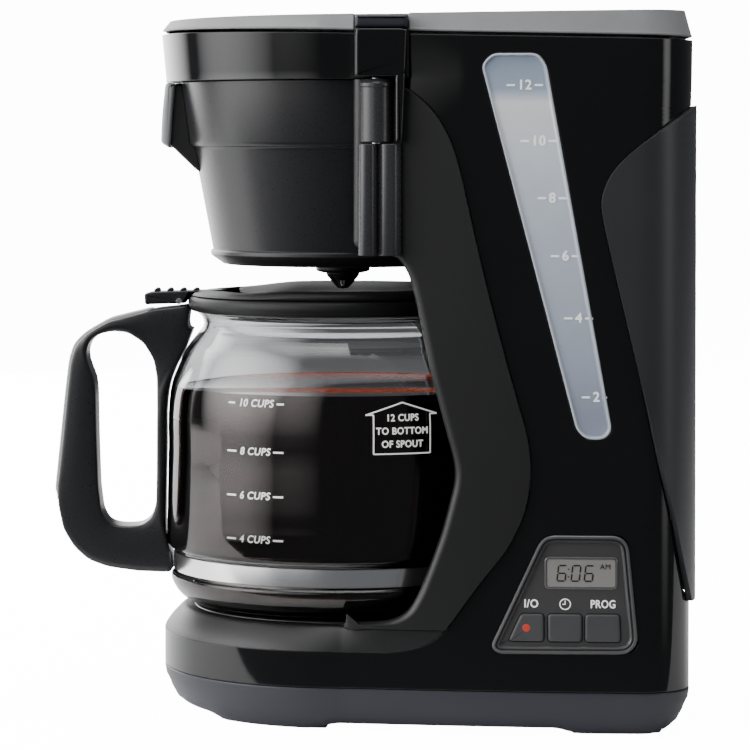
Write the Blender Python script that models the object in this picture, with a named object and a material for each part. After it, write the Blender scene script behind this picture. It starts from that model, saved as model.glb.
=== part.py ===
"""Drip coffee maker: housing, swing-out basket, hinged lid, warming plate and glass carafe.

Every size below is in millimetres. The helpers turn them into metres.
X runs from the carafe handle (-) to the back of the machine (+), Y away from the control panel, Z up.
"""

import math

import bmesh
import bpy

MM = 0.001
GAP = 0.3  # clearance between two separate pieces
WALL = 2.4  # thickness of the moulded shells

# Plan of the machine
AXIS_X = -9.65  # axis shared by the carafe, the basket, the plate and the head
FRONT_R = 76.0
REAR_X = 131.45
REAR_HALF = 89.0
CORNER_R = 22.0
BODY_INSET = 0.5  # the body stands this far inside the plan line
INNER_INSET = BODY_INSET + WALL
INSIDE = 0.35  # how far a joined shape stays inside the shape that it is joined to

# Heights
FOOT_TOP = 3.5
PAN_BOTTOM = 3.6
PAN_FLOOR = 6.6
SEAM_Z = 19.0
SHOULDER_Z = 32.6
DECK_Z = 42.3
CARAFE_Z = 43.2
BAY_TOP = 262.9
HEAD_LOW = 263.7
HEAD_LOW_IN = 0.9  # the head is this much narrower at its lower edge, and wider at its top
HEAD_TOP_IN = -0.8
HEAD_BLEND = (0.0, 40.0)
TOP_FRONT = 282.4
TOP_REAR = 278.0
LID_CLEAR = 1.3
LID_FRONT = 288.0
LID_REAR = 290.0
LID_SLOPE = 4.0

# Bay and colour boundaries, as seen from the side: (x, z)
BAY_EDGE = [(4.0, 42.3), (11.5, 43.4), (18.3, 47.6), (23.0, 55.3), (27.8, 67.7), (32.6, 81.1), (37.9, 102.2),
            (37.4, 109.8), (28.3, 144.0), (23.7, 166.4), (20.1, 182.4), (17.8, 187.6), (15.0, 191.6),
            (11.2, 193.8), (7.5, 195.3), (2.0, 196.0), (-2.8, 196.5), (-2.8, 262.9)]
BAY_BACK_X = 68.0
BAY_LIP = 1.3  # the flat edge of the bay runs this far inside the side wall
FRAME_LINE = [(8.7, 32.6), (21.1, 34.3), (30.6, 40.0), (38.2, 52.5), (46.8, 64.0), (57.3, 75.5), (64.9, 90.8),
              (66.3, 106.0), (64.9, 119.5), (57.7, 144.3), (49.7, 174.5), (44.0, 198.4), (37.4, 228.0),
              (34.5, 239.5), (27.8, 250.9), (17.3, 259.6), (8.0, 262.3)]
REAR_LINE = [(REAR_X - back, z) for back, z in (
    (2.45, 53.0), (6.95, 74.0), (9.45, 87.6), (15.45, 111.0), (22.55, 144.6), (32.45, 186.0), (37.65, 209.0),
    (37.65, 215.7), (34.45, 224.0), (27.75, 231.8), (14.45, 242.0), (0.45, 252.0))]

# Window, panel and buttons on the near side: (x, z)
WINDOW = [(88.0, 118.9), (95.0, 118.9), (98.2, 122.5), (72.1, 268.0), (68.5, 272.6), (50.5, 272.6),
          (46.1, 268.0), (84.0, 122.5)]
PANEL = [(53.4, 33.3), (105.6, 33.9), (108.4, 37.0), (104.5, 77.8), (101.8, 80.6), (72.5, 80.6), (69.5, 78.0),
         (50.4, 36.5)]
PANEL_RIM = 2.2
PANEL_RAISE = 0.8
PANEL_SINK = 0.7
DISPLAY = [(72.3, 60.0), (99.7, 60.0), (99.7, 71.3), (72.3, 71.3)]
BUTTONS = {
    "button_power": [(56.7, 38.3), (71.1, 38.3), (71.1, 49.2), (61.5, 49.2)],
    "button_clock": [(72.6, 38.3), (85.7, 38.3), (85.7, 49.2), (72.6, 49.2)],
    "button_program": [(87.2, 38.3), (101.1, 38.3), (100.0, 49.2), (87.2, 49.2)],
}
BUTTON_GAP = 0.4
BUTTON_PROUD = 0.2
BUTTON_DEPTH = 3.2
LAMP_XZ = (64.0, 44.0)
LAMP_R = 1.1

# Basket and its hinge
HINGE_X = 4.5
HINGE_Y = -80.0
BARREL_R = 6.8
BARREL_EDGE = HINGE_X + BARREL_R + 0.7  # the boss and the frame start here
PIN_R = 2.0
BARREL_LOW = 236.9
BARREL_TOP = 262.5
COLUMN_LOW = 192.0
BOSS_TOP = 288.0
BASKET_OUTER = [(9.4, 186.0), (50.4, 186.0), (55.9, 190.0), (55.9, 192.0), (54.8, 192.2), (62.8, 234.6),
                (65.0, 236.0), (68.6, 262.4)]
BASKET_INNER = [(66.4, 262.4), (62.8, 237.2), (60.6, 235.6), (52.4, 192.4), (51.0, 190.6), (9.4, 190.6)]
GRIP = [(-60.0, 262.2), (-84.2, 262.2), (-85.3, 250.0), (-85.9, 236.8), (-70.0, 223.9), (-60.0, 223.9)]
GRIP_HALF = 15.0

# Carafe: (radius, z)
GLASS_OUTER = [(0.0, 43.2), (60.0, 43.2), (63.6, 44.2), (68.2, 46.8), (71.6, 50.8), (72.9, 55.8), (71.4, 57.2),
               (71.4, 65.4), (73.9, 67.4), (74.4, 82.7), (73.9, 107.7), (73.5, 128.7), (72.2, 136.2),
               (69.7, 142.9), (65.6, 152.2), (60.4, 158.4), (58.9, 160.5), (59.6, 163.4), (62.3, 166.4)]
GLASS_WALL = 2.2
HANDLE_OUTER = [(-75.4, 167.9), (-88.8, 167.9), (-107.9, 162.4), (-118.1, 156.5), (-122.5, 152.2),
                (-124.6, 145.4), (-126.3, 131.2), (-129.2, 103.5), (-131.75, 85.7), (-128.9, 82.7),
                (-127.1, 72.6), (-122.9, 65.8), (-117.1, 60.4), (-108.8, 57.5), (-96.0, 55.8), (-70.0, 55.2),
                (-60.0, 80.0), (-60.0, 120.0), (-68.0, 150.0)]
HANDLE_INNER = [(-117.9, 146.3), (-117.1, 152.2), (-113.7, 156.0), (-107.1, 157.7), (-100.3, 156.9),
                (-93.6, 152.2), (-89.4, 145.4), (-88.2, 139.5), (-88.6, 84.4), (-90.2, 79.3), (-94.4, 75.9),
                (-104.5, 75.9), (-108.8, 77.2), (-111.7, 81.9), (-112.6, 91.2), (-113.1, 116.2),
                (-113.7, 132.9), (-114.9, 138.7), (-117.1, 142.9)]
HANDLE_HALF = 10.5
HANDLE_BEVEL = 3.0
INLAY_HALF = 6.5
INLAY_DEEP = 2.0

# Turned pieces: closed (radius, z) profiles
PLATE_PROFILE = [(0.0, 41.4), (0.0, 42.9), (61.6, 42.9), (63.0, 42.4), (63.0, 39.0), (61.4, 39.0), (61.4, 41.4)]
GASKET_PROFILE = [(63.3, 39.2), (64.3, 39.2), (64.3, 42.3), (63.3, 41.9)]
SHOWER_SEAT = BAY_TOP + WALL + GAP  # the spray head's flange rests above the bay's ceiling
SHOWER_PROFILE = [(0.0, BAY_TOP + GAP), (29.4, BAY_TOP + GAP), (29.4, SHOWER_SEAT), (33.0, SHOWER_SEAT),
                  (33.0, SHOWER_SEAT + 1.6), (6.0, SHOWER_SEAT + 3.0), (4.6, SHOWER_SEAT + 4.6),
                  (0.0, SHOWER_SEAT + 4.6)]
FILTER_PROFILE = [(6.8, 191.0), (50.6, 191.0), (51.8, 192.6), (59.9, 234.0), (59.9, 235.2), (58.2, 235.2),
                  (58.2, 234.0), (50.0, 193.0), (49.4, 192.6), (6.8, 192.6)]
SEAT_PROFILE = [(4.0, 179.6), (5.4, 179.6), (6.2, 183.0), (11.4, 183.0), (11.4, 185.7), (9.1, 185.7),
                (9.1, 190.3), (7.8, 190.3), (7.8, 184.4), (4.0, 184.4)]
VALVE_PROFILE = [(0.0, 177.0), (2.2, 177.0), (3.6, 179.0), (3.6, 184.7), (7.2, 184.7), (7.2, 186.2), (3.2, 186.2),
                 (3.2, 187.4), (0.0, 187.4)]
COLLAR_PROFILE = [(60.0, 166.7), (64.2, 166.7), (65.3, 168.2), (65.2, 171.4), (64.2, 172.4), (60.0, 172.4)]
LID_PROFILE = [(0.0, 170.3), (59.4, 170.3), (59.4, 172.7), (64.2, 172.7), (64.6, 174.2), (63.4, 176.0),
               (58.0, 176.6), (42.0, 176.2), (34.0, 173.0), (0.0, 172.0)]
CARAFE_PIN = (-78.6, 170.4)
CARAFE_PIN_R = 1.3

# Rear hinge of the top lid
LID_PIN = (REAR_X - 2.25, 282.0)
LID_PIN_R = 1.1
LUG_Y = 43.0
LUG_HALF = 3.0

# Water path, plan places (x, y) and radii
HOSE_Z = 25.0
RISER = (104.0, 62.0)
RISER_TOP = 275.0
RISER_SHAFT_R = 6.0
OUTLET = (95.0, -20.0)
HOSE_Y = 14.0  # both hoses meet the heating tube this far from the centre line
HOSE_X = 36.3
TANK_FLOOR = 98.0
TANK_WALL = 2.0
TANK_FRONT_X = 24.0
GLAND = (45.0, 32.0)  # (y, z)
GLAND_R = 5.5
CORD_R = 3.2
BOARD = ((52.0, -79.0, 35.0), (106.0, -77.4, 78.0))
PANEL_POSTS = ((80.0, 76.5), (103.6, 55.0), (78.0, 54.6))
PANEL_POST_R = 1.6

# Feet and screws
FOOT_INNER_R = 54.0
FOOT_OUTER_R = 66.5
FOOT_ARC = (221.0, 265.0)
TANK_CLEAR = 2.6  # the tank stands this far behind the curved bay wall
REAR_FOOT = [(83.0, 62.0), (119.0, 62.0), (119.0, 76.0), (112.0, 79.0), (83.0, 77.5)]
SCREWS = {"screw_front_near": (-64.5, -25.6), "screw_front_far": (-64.5, 25.6),
          "screw_rear_near": (REAR_X - 15.45, -48.0), "screw_rear_far": (REAR_X - 15.45, 48.0)}
WEB_REACH = 1.18  # the web of a front post ends at this share of the post's distance from the axis
SCREW_R = 1.5
SCREW_HEAD_R = 3.0
POST_R = 4.0

STEPS = 32
FINE_STEPS = 14
ARC_STEPS = 18


def half_width(x):
    """Half the width of the plan at x, which widens gently behind the carafe axis."""
    share = max(0.0, min(1.0, (x - AXIS_X) / (REAR_X - AXIS_X)))
    return FRONT_R + (REAR_HALF - FRONT_R) * math.sin(math.pi / 2 * share)


def plan(inset):
    """Plan outline of the body, anticlockwise, drawn in by inset."""
    radius = FRONT_R - inset
    points = []
    for index in range(ARC_STEPS + 1):
        angle = math.pi / 2 + math.pi * index / ARC_STEPS
        points.append((AXIS_X + radius * math.cos(angle), radius * math.sin(angle)))
    side = [AXIS_X + (REAR_X - CORNER_R - AXIS_X) * share for share in (0.2, 0.4, 0.6, 0.8, 1.0)]
    near = [(x, -(half_width(x) - inset)) for x in side]
    corner = []
    radius = CORNER_R - min(inset, CORNER_R - 1.0)
    centre_x = REAR_X - CORNER_R
    centre_y = half_width(centre_x) - inset - radius
    for index in range(1, 7):
        angle = -math.pi / 2 + math.pi / 2 * index / 6
        corner.append((REAR_X - inset - radius + radius * math.cos(angle), -centre_y + radius * math.sin(angle)))
    far = [(x, -y) for x, y in reversed(near + corner)]
    return points + near + corner + far


def grow(outline, distance):
    """The outline (anticlockwise) moved outwards by distance, with mitred corners."""
    area = sum(a[0] * b[1] - b[0] * a[1] for a, b in zip(outline, outline[1:] + outline[:1]))
    turn = 1.0 if area > 0 else -1.0
    grown = []
    for before, here, after in zip(outline[-1:] + outline[:-1], outline, outline[1:] + outline[:1]):
        first = (here[0] - before[0], here[1] - before[1])
        second = (after[0] - here[0], after[1] - here[1])
        first_length = math.hypot(*first)
        second_length = math.hypot(*second)
        normal = ((first[1] / first_length + second[1] / second_length) * turn,
                  (-first[0] / first_length - second[0] / second_length) * turn)
        size = max(normal[0] ** 2 + normal[1] ** 2, 0.4)
        grown.append((here[0] + normal[0] * 2 * distance / size, here[1] + normal[1] * 2 * distance / size))
    return grown


def add_object(name, mesh, smooth=False):
    """Puts a mesh in the scene under its own name, faces turned outwards."""
    sculpt = bmesh.new()
    sculpt.from_mesh(mesh)
    bmesh.ops.recalc_face_normals(sculpt, faces=sculpt.faces)
    sculpt.to_mesh(mesh)
    sculpt.free()
    mesh.update()
    obj = bpy.data.objects.new(name, mesh)
    bpy.context.scene.collection.objects.link(obj)
    if smooth:
        mesh.shade_smooth()
    return obj


def helper(obj):
    """Marks a cutter: not rendered, drawn as wire."""
    obj.hide_render = True
    obj.display_type = "WIRE"
    return obj


def loft(name, rings):
    """Closed solid through rings of equal count, each a list of (x, y, z)."""
    sculpt = bmesh.new()
    made = [[sculpt.verts.new((x * MM, y * MM, z * MM)) for x, y, z in ring] for ring in rings]
    for lower, upper in zip(made, made[1:]):
        count = len(lower)
        for index in range(count):
            after = (index + 1) % count
            sculpt.faces.new((lower[index], lower[after], upper[after], upper[index]))
    if len(rings) > 2:
        bmesh.ops.triangulate(sculpt, faces=sculpt.faces)  # keeps every face flat for the Booleans
    sculpt.faces.new(list(reversed(made[0])))
    sculpt.faces.new(made[-1])
    mesh = bpy.data.meshes.new(name)
    sculpt.to_mesh(mesh)
    sculpt.free()
    return add_object(name, mesh)


def upright(name, outline, low, high):
    """Prism standing on a plan outline."""
    return loft(name, [[(x, y, z) for x, y in outline] for z in (low, high)])


def across(name, outline, near, far):
    """Prism through a side outline (x, z), from y near to y far."""
    return loft(name, [[(x, y, z) for x, z in outline] for y in (near, far)])


def box(name, low, high):
    return upright(name, [(low[0], low[1]), (high[0], low[1]), (high[0], high[1]), (low[0], high[1])],
                   low[2], high[2])


def head_plan(front_inset, rear_inset):
    """Plan outline with one inset round the head and another behind it, blended along the sides."""
    blended = []
    for (front_x, front_y), (rear_x, rear_y) in zip(plan(front_inset), plan(rear_inset)):
        share = max(0.0, min(1.0, (front_x - HEAD_BLEND[0]) / (HEAD_BLEND[1] - HEAD_BLEND[0])))
        blended.append((front_x + (rear_x - front_x) * share, front_y + (rear_y - front_y) * share))
    return blended


def body_loft(name, levels):
    """Solid through plan outlines: levels are (height, inset), where the height may depend on x.

    An inset may be a pair: round the head, and behind it.
    """
    rings = []
    for height, inset in levels:
        outline = head_plan(*inset) if isinstance(inset, tuple) else plan(inset)
        rings.append([(x, y, height(x) if callable(height) else height) for x, y in outline])
    return loft(name, rings)


def lathe(name, profile, centre=(AXIS_X, 0.0), steps=STEPS, smooth=True):
    """Turned solid: a closed (radius, z) profile swept by a Screw modifier about an upright axis."""
    sculpt = bmesh.new()
    points = [sculpt.verts.new((radius * MM, 0.0, z * MM)) for radius, z in profile]
    for start, end in zip(points, points[1:] + points[:1]):
        if start.co.x > 1e-9 or end.co.x > 1e-9:
            sculpt.edges.new((start, end))
    mesh = bpy.data.meshes.new(name)
    sculpt.to_mesh(mesh)
    sculpt.free()
    obj = bpy.data.objects.new(name, mesh)
    obj.location = (centre[0] * MM, centre[1] * MM, 0.0)
    bpy.context.scene.collection.objects.link(obj)
    area = sum(a[0] * b[1] - b[0] * a[1] for a, b in zip(profile, profile[1:] + profile[:1]))
    screw = obj.modifiers.new("Turn", "SCREW")
    screw.angle = 2 * math.pi
    screw.steps = steps
    screw.render_steps = steps
    screw.use_merge_vertices = True
    screw.merge_threshold = 0.00001
    screw.use_smooth_shade = smooth
    screw.use_normal_flip = area > 0
    return obj


def rod(name, centre, radius, low, high, axis="Z", steps=FINE_STEPS):
    """Round bar along one axis; centre holds the two other coordinates."""
    ring = []
    for index in range(steps):
        angle = 2 * math.pi * index / steps
        ring.append((centre[0] + radius * math.cos(angle), centre[1] + radius * math.sin(angle)))
    if axis == "Z":
        rings = [[(a, b, along) for a, b in ring] for along in (low, high)]
    elif axis == "Y":
        rings = [[(a, along, b) for a, b in ring] for along in (low, high)]
    else:
        rings = [[(along, a, b) for a, b in ring] for along in (low, high)]
    return loft(name, rings)


def hose(name, path, radius, resolution=3):
    """Bent tube along a path, from a bevelled curve with its ends filled."""
    curve = bpy.data.curves.new(name, "CURVE")
    curve.dimensions = "3D"
    curve.bevel_depth = radius * MM
    curve.bevel_resolution = resolution
    curve.use_fill_caps = True
    spline = curve.splines.new("POLY")
    spline.points.add(len(path) - 1)
    for point, place in zip(spline.points, path):
        point.co = (place[0] * MM, place[1] * MM, place[2] * MM, 1.0)
    obj = bpy.data.objects.new(name, curve)
    bpy.context.scene.collection.objects.link(obj)
    return obj


def rounded_path(corners, radius, steps=5):
    """Path through corners, with each inner corner replaced by a curve of about this radius."""
    path = [corners[0]]
    for before, here, after in zip(corners, corners[1:], corners[2:]):
        back = [b - h for b, h in zip(before, here)]
        on = [a - h for a, h in zip(after, here)]
        back_length = math.sqrt(sum(v * v for v in back))
        on_length = math.sqrt(sum(v * v for v in on))
        start = [h + v / back_length * min(radius, back_length * 0.45) for h, v in zip(here, back)]
        end = [h + v / on_length * min(radius, on_length * 0.45) for h, v in zip(here, on)]
        for index in range(steps + 1):
            t = index / steps
            path.append(tuple((1 - t) ** 2 * s + 2 * t * (1 - t) * h + t * t * e
                              for s, h, e in zip(start, here, end)))
    path.append(corners[-1])
    return path


def boolean(obj, operation, *others):
    """Adds exact Boolean modifiers, one for each other object, and marks those as helpers."""
    for other in others:
        modifier = obj.modifiers.new(operation.title() + " " + other.name, "BOOLEAN")
        modifier.operation = operation
        modifier.solver = "EXACT"
        modifier.object = other
        helper(other)
    return obj


def cut(obj, *others):
    return boolean(obj, "DIFFERENCE", *others)


def join(obj, *others):
    return boolean(obj, "UNION", *others)


def keep(obj, *others):
    return boolean(obj, "INTERSECT", *others)


def bevel(obj, width, segments=2, angle=40.0):
    modifier = obj.modifiers.new("Soft edges", "BEVEL")
    modifier.width = width * MM
    modifier.segments = segments
    modifier.limit_method = "ANGLE"
    modifier.angle_limit = math.radians(angle)
    modifier.use_clamp_overlap = True
    return obj


def material(name, colour, roughness, metallic=0.0, transmission=0.0):
    made = bpy.data.materials.new(name)
    made.use_nodes = True
    shader = made.node_tree.nodes["Principled BSDF"]
    shader.inputs["Base Color"].default_value = (*colour, 1.0)
    shader.inputs["Roughness"].default_value = roughness
    shader.inputs["Metallic"].default_value = metallic
    shader.inputs["Transmission Weight"].default_value = transmission
    return made


def dress(look, *objects):
    for obj in objects:
        obj.data.materials.append(look)


def body_top(x):
    """Height of the housing's upper edge at x."""
    return TOP_FRONT + (TOP_REAR - TOP_FRONT) * (x - AXIS_X + FRONT_R) / (REAR_X - AXIS_X + FRONT_R)


def lid_bottom(x):
    return body_top(x) + LID_CLEAR


def lid_top(x):
    return LID_FRONT + (LID_REAR - LID_FRONT) * (x - AXIS_X + FRONT_R) / (REAR_X - AXIS_X + FRONT_R)


def bay_solid(name, extra, low, high, edge_extra=None):
    """The open bay round the carafe and basket, enlarged by extra, between two heights.

    Each level is an arc from the side edge at (edge, half width) to the back of the bay on the centre line.
    """
    edge_extra = extra if edge_extra is None else edge_extra
    rings = []
    for edge, z in [(BAY_EDGE[0][0], low)] + BAY_EDGE[1:-1] + [(BAY_EDGE[-1][0], high)]:
        edge += edge_extra
        back = BAY_BACK_X + extra
        side = half_width(edge) - INNER_INSET - BAY_LIP
        centre = (back ** 2 - edge ** 2 - side ** 2) / (2 * (back - edge))
        radius = back - centre
        reach = math.asin(min(1.0, side / radius))
        if edge < centre:
            reach = math.pi - reach
        ring = [(-130.0, -110.0, z), (edge, -110.0, z), (edge, -side - 0.01, z)]
        for index in range(1, 14):
            angle = -reach + 2 * reach * index / 14
            ring.append((centre + radius * math.cos(angle), radius * math.sin(angle), z))
        ring += [(edge, side + 0.01, z), (edge, 110.0, z), (-130.0, 110.0, z)]
        rings.append(ring)
    return loft(name, rings)


def shell_levels(bottom, top, inset):
    """Levels of the housing's outside, moved in by inset: straight, then drawn in and flared round the head."""
    return [(bottom, inset), (HEAD_LOW - 20.0, inset), (HEAD_LOW, (inset + HEAD_LOW_IN, inset - 0.6)),
            (top, (inset + HEAD_TOP_IN, inset + HEAD_TOP_IN))]


def outer_body(name, inset=BODY_INSET):
    return body_loft(name, shell_levels(SEAM_Z + GAP, body_top, inset))


def inner_body(name, inset=INNER_INSET):
    return body_loft(name, shell_levels(4.0, 300.0, inset))


def wall_patch(name, outline, outer, inner, near=-120.0, far=-40.0):
    """Patch of the near side wall between two insets, cut to a side outline."""
    patch = body_loft(name, [(21.0, outer), (279.0, outer)])
    cut(patch, inner_body(name + "_hollow", inner))
    keep(patch, across(name + "_outline", outline, near, far))
    return patch


def base_parts():
    """Bottom pan, four rubber feet and the screws that hold the pan."""
    pan = body_loft("base_cover", [(PAN_BOTTOM, 8.6), (6.0, 5.2), (10.5, 2.7), (15.0, 0.9), (SEAM_Z, BODY_INSET)])
    cut(pan, body_loft("pan_hollow", [(PAN_FLOOR, 10.6), (10.5, 5.6), (15.0, 3.4), (30.0, 3.0)]))
    made = [pan]
    for name, (x, y) in SCREWS.items():
        cut(pan, rod(name + "_hole", (x, y), SCREW_R + GAP, 0.0, 10.0, steps=16))
        cut(pan, rod(name + "_sink", (x, y), SCREW_HEAD_R + GAP, 0.0, 5.2, steps=16))
        screw = lathe(name, [(0.0, 3.9), (1.0, 3.9), (1.0, 3.5), (SCREW_HEAD_R, 3.5), (SCREW_HEAD_R, 4.9),
                             (SCREW_R, 4.9), (SCREW_R, 18.0), (0.0, 18.0)], (x, y), 16)
        made.append(screw)
    feet = []
    for name, side in (("foot_front_near", 1.0), ("foot_front_far", -1.0)):
        outline = []
        for radius, order in ((FOOT_OUTER_R, 1), (FOOT_INNER_R, -1)):
            arc = [FOOT_ARC[0] + (FOOT_ARC[1] - FOOT_ARC[0]) * index / 8 for index in range(9)][::order]
            for degrees in arc:
                angle = math.radians(degrees)
                outline.append((AXIS_X + radius * math.cos(angle), side * radius * math.sin(angle)))
        feet.append(bevel(upright(name, outline, 0.0, FOOT_TOP), 0.6, 1))
    for name, side in (("foot_rear_near", -1.0), ("foot_rear_far", 1.0)):
        feet.append(bevel(upright(name, [(x, side * y) for x, y in REAR_FOOT], 0.0, FOOT_TOP), 0.6, 1))
    return made, feet


def frame_outline(left):
    """Side outline of the matte frame; left is how it closes at the bottom front."""
    return FRAME_LINE + [(-125.0, 262.3)] + left


def post(name, x, y, top, low=7.0):
    return rod(name, (x, y), POST_R, low, top, steps=16)


def front_frame():
    """Matte inner frame: plate surround, bay walls, bay ceiling and the side bands."""
    zone = frame_outline([(-125.0, 60.0), (-8.0, 60.0), (4.0, DECK_Z - INSIDE)])
    side = keep(outer_body("frame_side", BODY_INSET + INSIDE),
                across("frame_zone", grow(zone, -INSIDE), -120.0, 120.0))
    band = keep(cut(outer_body("front_frame"), inner_body("frame_hollow")),
                across("frame_zone_b", zone, -120.0, 120.0))
    liner = join(inner_body("frame_liner", INNER_INSET + GAP), side)
    keep(liner, bay_solid("bay_grown", WALL, DECK_Z - WALL, BAY_TOP + WALL))
    cut(liner, box("liner_low", (-125.0, -120.0, 10.0), (6.0, 120.0, DECK_Z)))
    join(band, liner)
    join(band, lathe("deck_ring", [(73.0, SHOULDER_Z), (75.5, SHOULDER_Z), (67.4, DECK_Z), (66.9, DECK_Z + 0.6),
                                   (62.0, DECK_Z + 0.6), (62.0, DECK_Z - WALL), (66.4, DECK_Z - WALL)],
                     smooth=False))
    for name in ("screw_front_near", "screw_front_far"):
        x, y = SCREWS[name]
        end_x, end_y = AXIS_X + (x - AXIS_X) * WEB_REACH, y * WEB_REACH
        web = [(x, y - 2.0), (x, y + 2.0), (end_x, end_y + 2.0), (end_x, end_y - 2.0)]
        join(band, join(post(name + "_post", x, y, 36.4), upright(name + "_web", web, 33.0, 36.2)))
    cut(band, bay_solid("bay", 0.0, DECK_Z, BAY_TOP))
    cut(band, rod("plate_hole", (AXIS_X, 0.0), 64.7, 38.0, 43.0, steps=STEPS))
    cut(band, rod("shower_hole", (AXIS_X, 0.0), 29.7, 260.5, 267.5, steps=32))
    cut(band, box("column_space", (-3.1, -95.0, COLUMN_LOW - GAP), (14.6, -72.6, BARREL_LOW)))
    cut(band, box("barrel_space", (-14.0, -95.0, BARREL_LOW - GAP), (BARREL_EDGE, -66.0, BAY_TOP - 0.15)))
    cut(band, box("boss_gap", (-4.3, -95.0, BAY_TOP - 1.0), (17.3, -69.1, 275.0)))
    for name in ("screw_front_near", "screw_front_far"):
        x, y = SCREWS[name]
        cut(band, rod(name + "_bore", (x, y), SCREW_R + GAP, 5.0, 20.0, steps=16))
    return band


def main_housing():
    """Glossy outer shell: ring round the base, side panels and the ring round the head."""
    shell = cut(outer_body("main_housing"), inner_body("housing_hollow"))
    for name, (x, y) in SCREWS.items():
        if x > 0:
            stem = post(name + "_post", x, y, 40.0)
            join(stem, box(name + "_web", (x, y - 2.0, 20.0), (REAR_X - 1.6, y + 2.0, 40.0)))
            join(shell, stem)
            cut(shell, rod(name + "_bore", (x, y), SCREW_R + GAP, 5.0, 20.0, steps=16))
    for side in (-1.0, 1.0):
        lug = box(f"lug_{side:+.0f}", (REAR_X - 3.65, side * LUG_Y - LUG_HALF, 268.0),
                  (REAR_X - 0.85, side * LUG_Y + LUG_HALF, 283.5))
        join(shell, lug)
        cut(shell, rod(f"lug_bore_{side:+.0f}", LID_PIN, LID_PIN_R + 0.05, side * LUG_Y - 6, side * LUG_Y + 6,
                       "Y", 16))
    cut(shell, across("frame_gap", grow(frame_outline([(-125.0, 32.6)]), GAP), -120.0, 120.0))
    cut(shell, across("rear_gap", grow(REAR_LINE + [(REAR_X + 18.55, 252.0), (REAR_X + 18.55, 53.0)], GAP), -120.0, 120.0))
    cut(shell, across("window_hole", grow(WINDOW, GAP), -120.0, -40.0))
    cut(shell, across("panel_hole", grow(PANEL, GAP), -120.0, -40.0))
    cut(shell, box("boss_space", (-4.3, -95.0, 255.0), (17.3, -69.0, 300.0)))
    cut(shell, rod("gland_hole", GLAND, GLAND_R + GAP, REAR_X - 11.45, REAR_X + 8.55, "X", 20))
    return shell


def rear_cover():
    shell = cut(outer_body("rear_cover"), inner_body("cover_hollow"))
    return keep(shell, across("cover_zone", REAR_LINE + [(REAR_X + 18.55, 252.0), (REAR_X + 18.55, 53.0)], -120.0, 120.0))


def hinge_parts():
    """Boss and column on the near side, and the pin the basket swings on."""
    column = box("hinge_column", (-2.8, -87.0, COLUMN_LOW), (14.3, -73.0, BARREL_LOW - GAP))
    bevel(column, 3.5, 3)
    cut(column, rod("column_bore", (HINGE_X, HINGE_Y), PIN_R + 0.1, 222.0, 250.0, steps=16))
    boss = across("hinge_boss", [(-4.0, 263.2), (BARREL_EDGE, 263.2), (BARREL_EDGE, BARREL_LOW + GAP),
                                 (14.8, BARREL_LOW + GAP),
                                 (17.0, BOSS_TOP), (-4.0, BOSS_TOP)], -87.6, -80.0)
    join(boss, box("boss_root", (-4.0, -80.5, 263.2), (17.0, -69.4, BOSS_TOP - 0.02)))
    cut(boss, rod("boss_bore", (HINGE_X, HINGE_Y), PIN_R + 0.1, 250.0, 274.3, steps=16))
    pin = rod("basket_pin", (HINGE_X, HINGE_Y), PIN_R, 222.3, 274.0, steps=16)
    return column, boss, pin


def near_side_parts():
    """Water window, control panel with its lens, lamp, buttons and board."""
    window = wall_patch("water_window", WINDOW, BODY_INSET, INNER_INSET)
    panel = wall_patch("control_panel", PANEL, BODY_INSET - PANEL_RAISE, INNER_INSET)
    face = grow(PANEL, -PANEL_RIM)
    sunk = body_loft("panel_face", [(21.0, -5.0), (279.0, -5.0)])
    cut(sunk, body_loft("panel_face_floor", [(15.0, BODY_INSET + PANEL_SINK), (290.0, BODY_INSET + PANEL_SINK)]))
    keep(sunk, across("panel_face_outline", face, -120.0, -40.0))
    cut(panel, sunk)
    cut(panel, across("display_hole", grow(DISPLAY, GAP), -120.0, -40.0))
    lens = wall_patch("display_lens", DISPLAY, BODY_INSET + 0.4, INNER_INSET)
    keys = []
    for name, outline in BUTTONS.items():
        cut(panel, across(name + "_hole", grow(outline, BUTTON_GAP), -120.0, -40.0))
        keys.append(wall_patch(name, outline, BODY_INSET - BUTTON_PROUD, BODY_INSET + BUTTON_DEPTH))
    cut(keys[0], rod("lamp_hole", LAMP_XZ, LAMP_R + 0.2, -120.0, -40.0, "Y", 16))
    lamp = rod("power_lamp", LAMP_XZ, LAMP_R, -84.6, -82.2, "Y", 16)
    board = box("control_board", *BOARD)
    for index, (x, z) in enumerate(PANEL_POSTS):
        start = INNER_INSET - 1.0 - half_width(x)
        join(panel, rod(f"panel_post_{index}", (x, z), PANEL_POST_R, start, BOARD[0][1] - 0.1, "Y", 12))
    return window, panel, lens, keys, lamp, board


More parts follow.
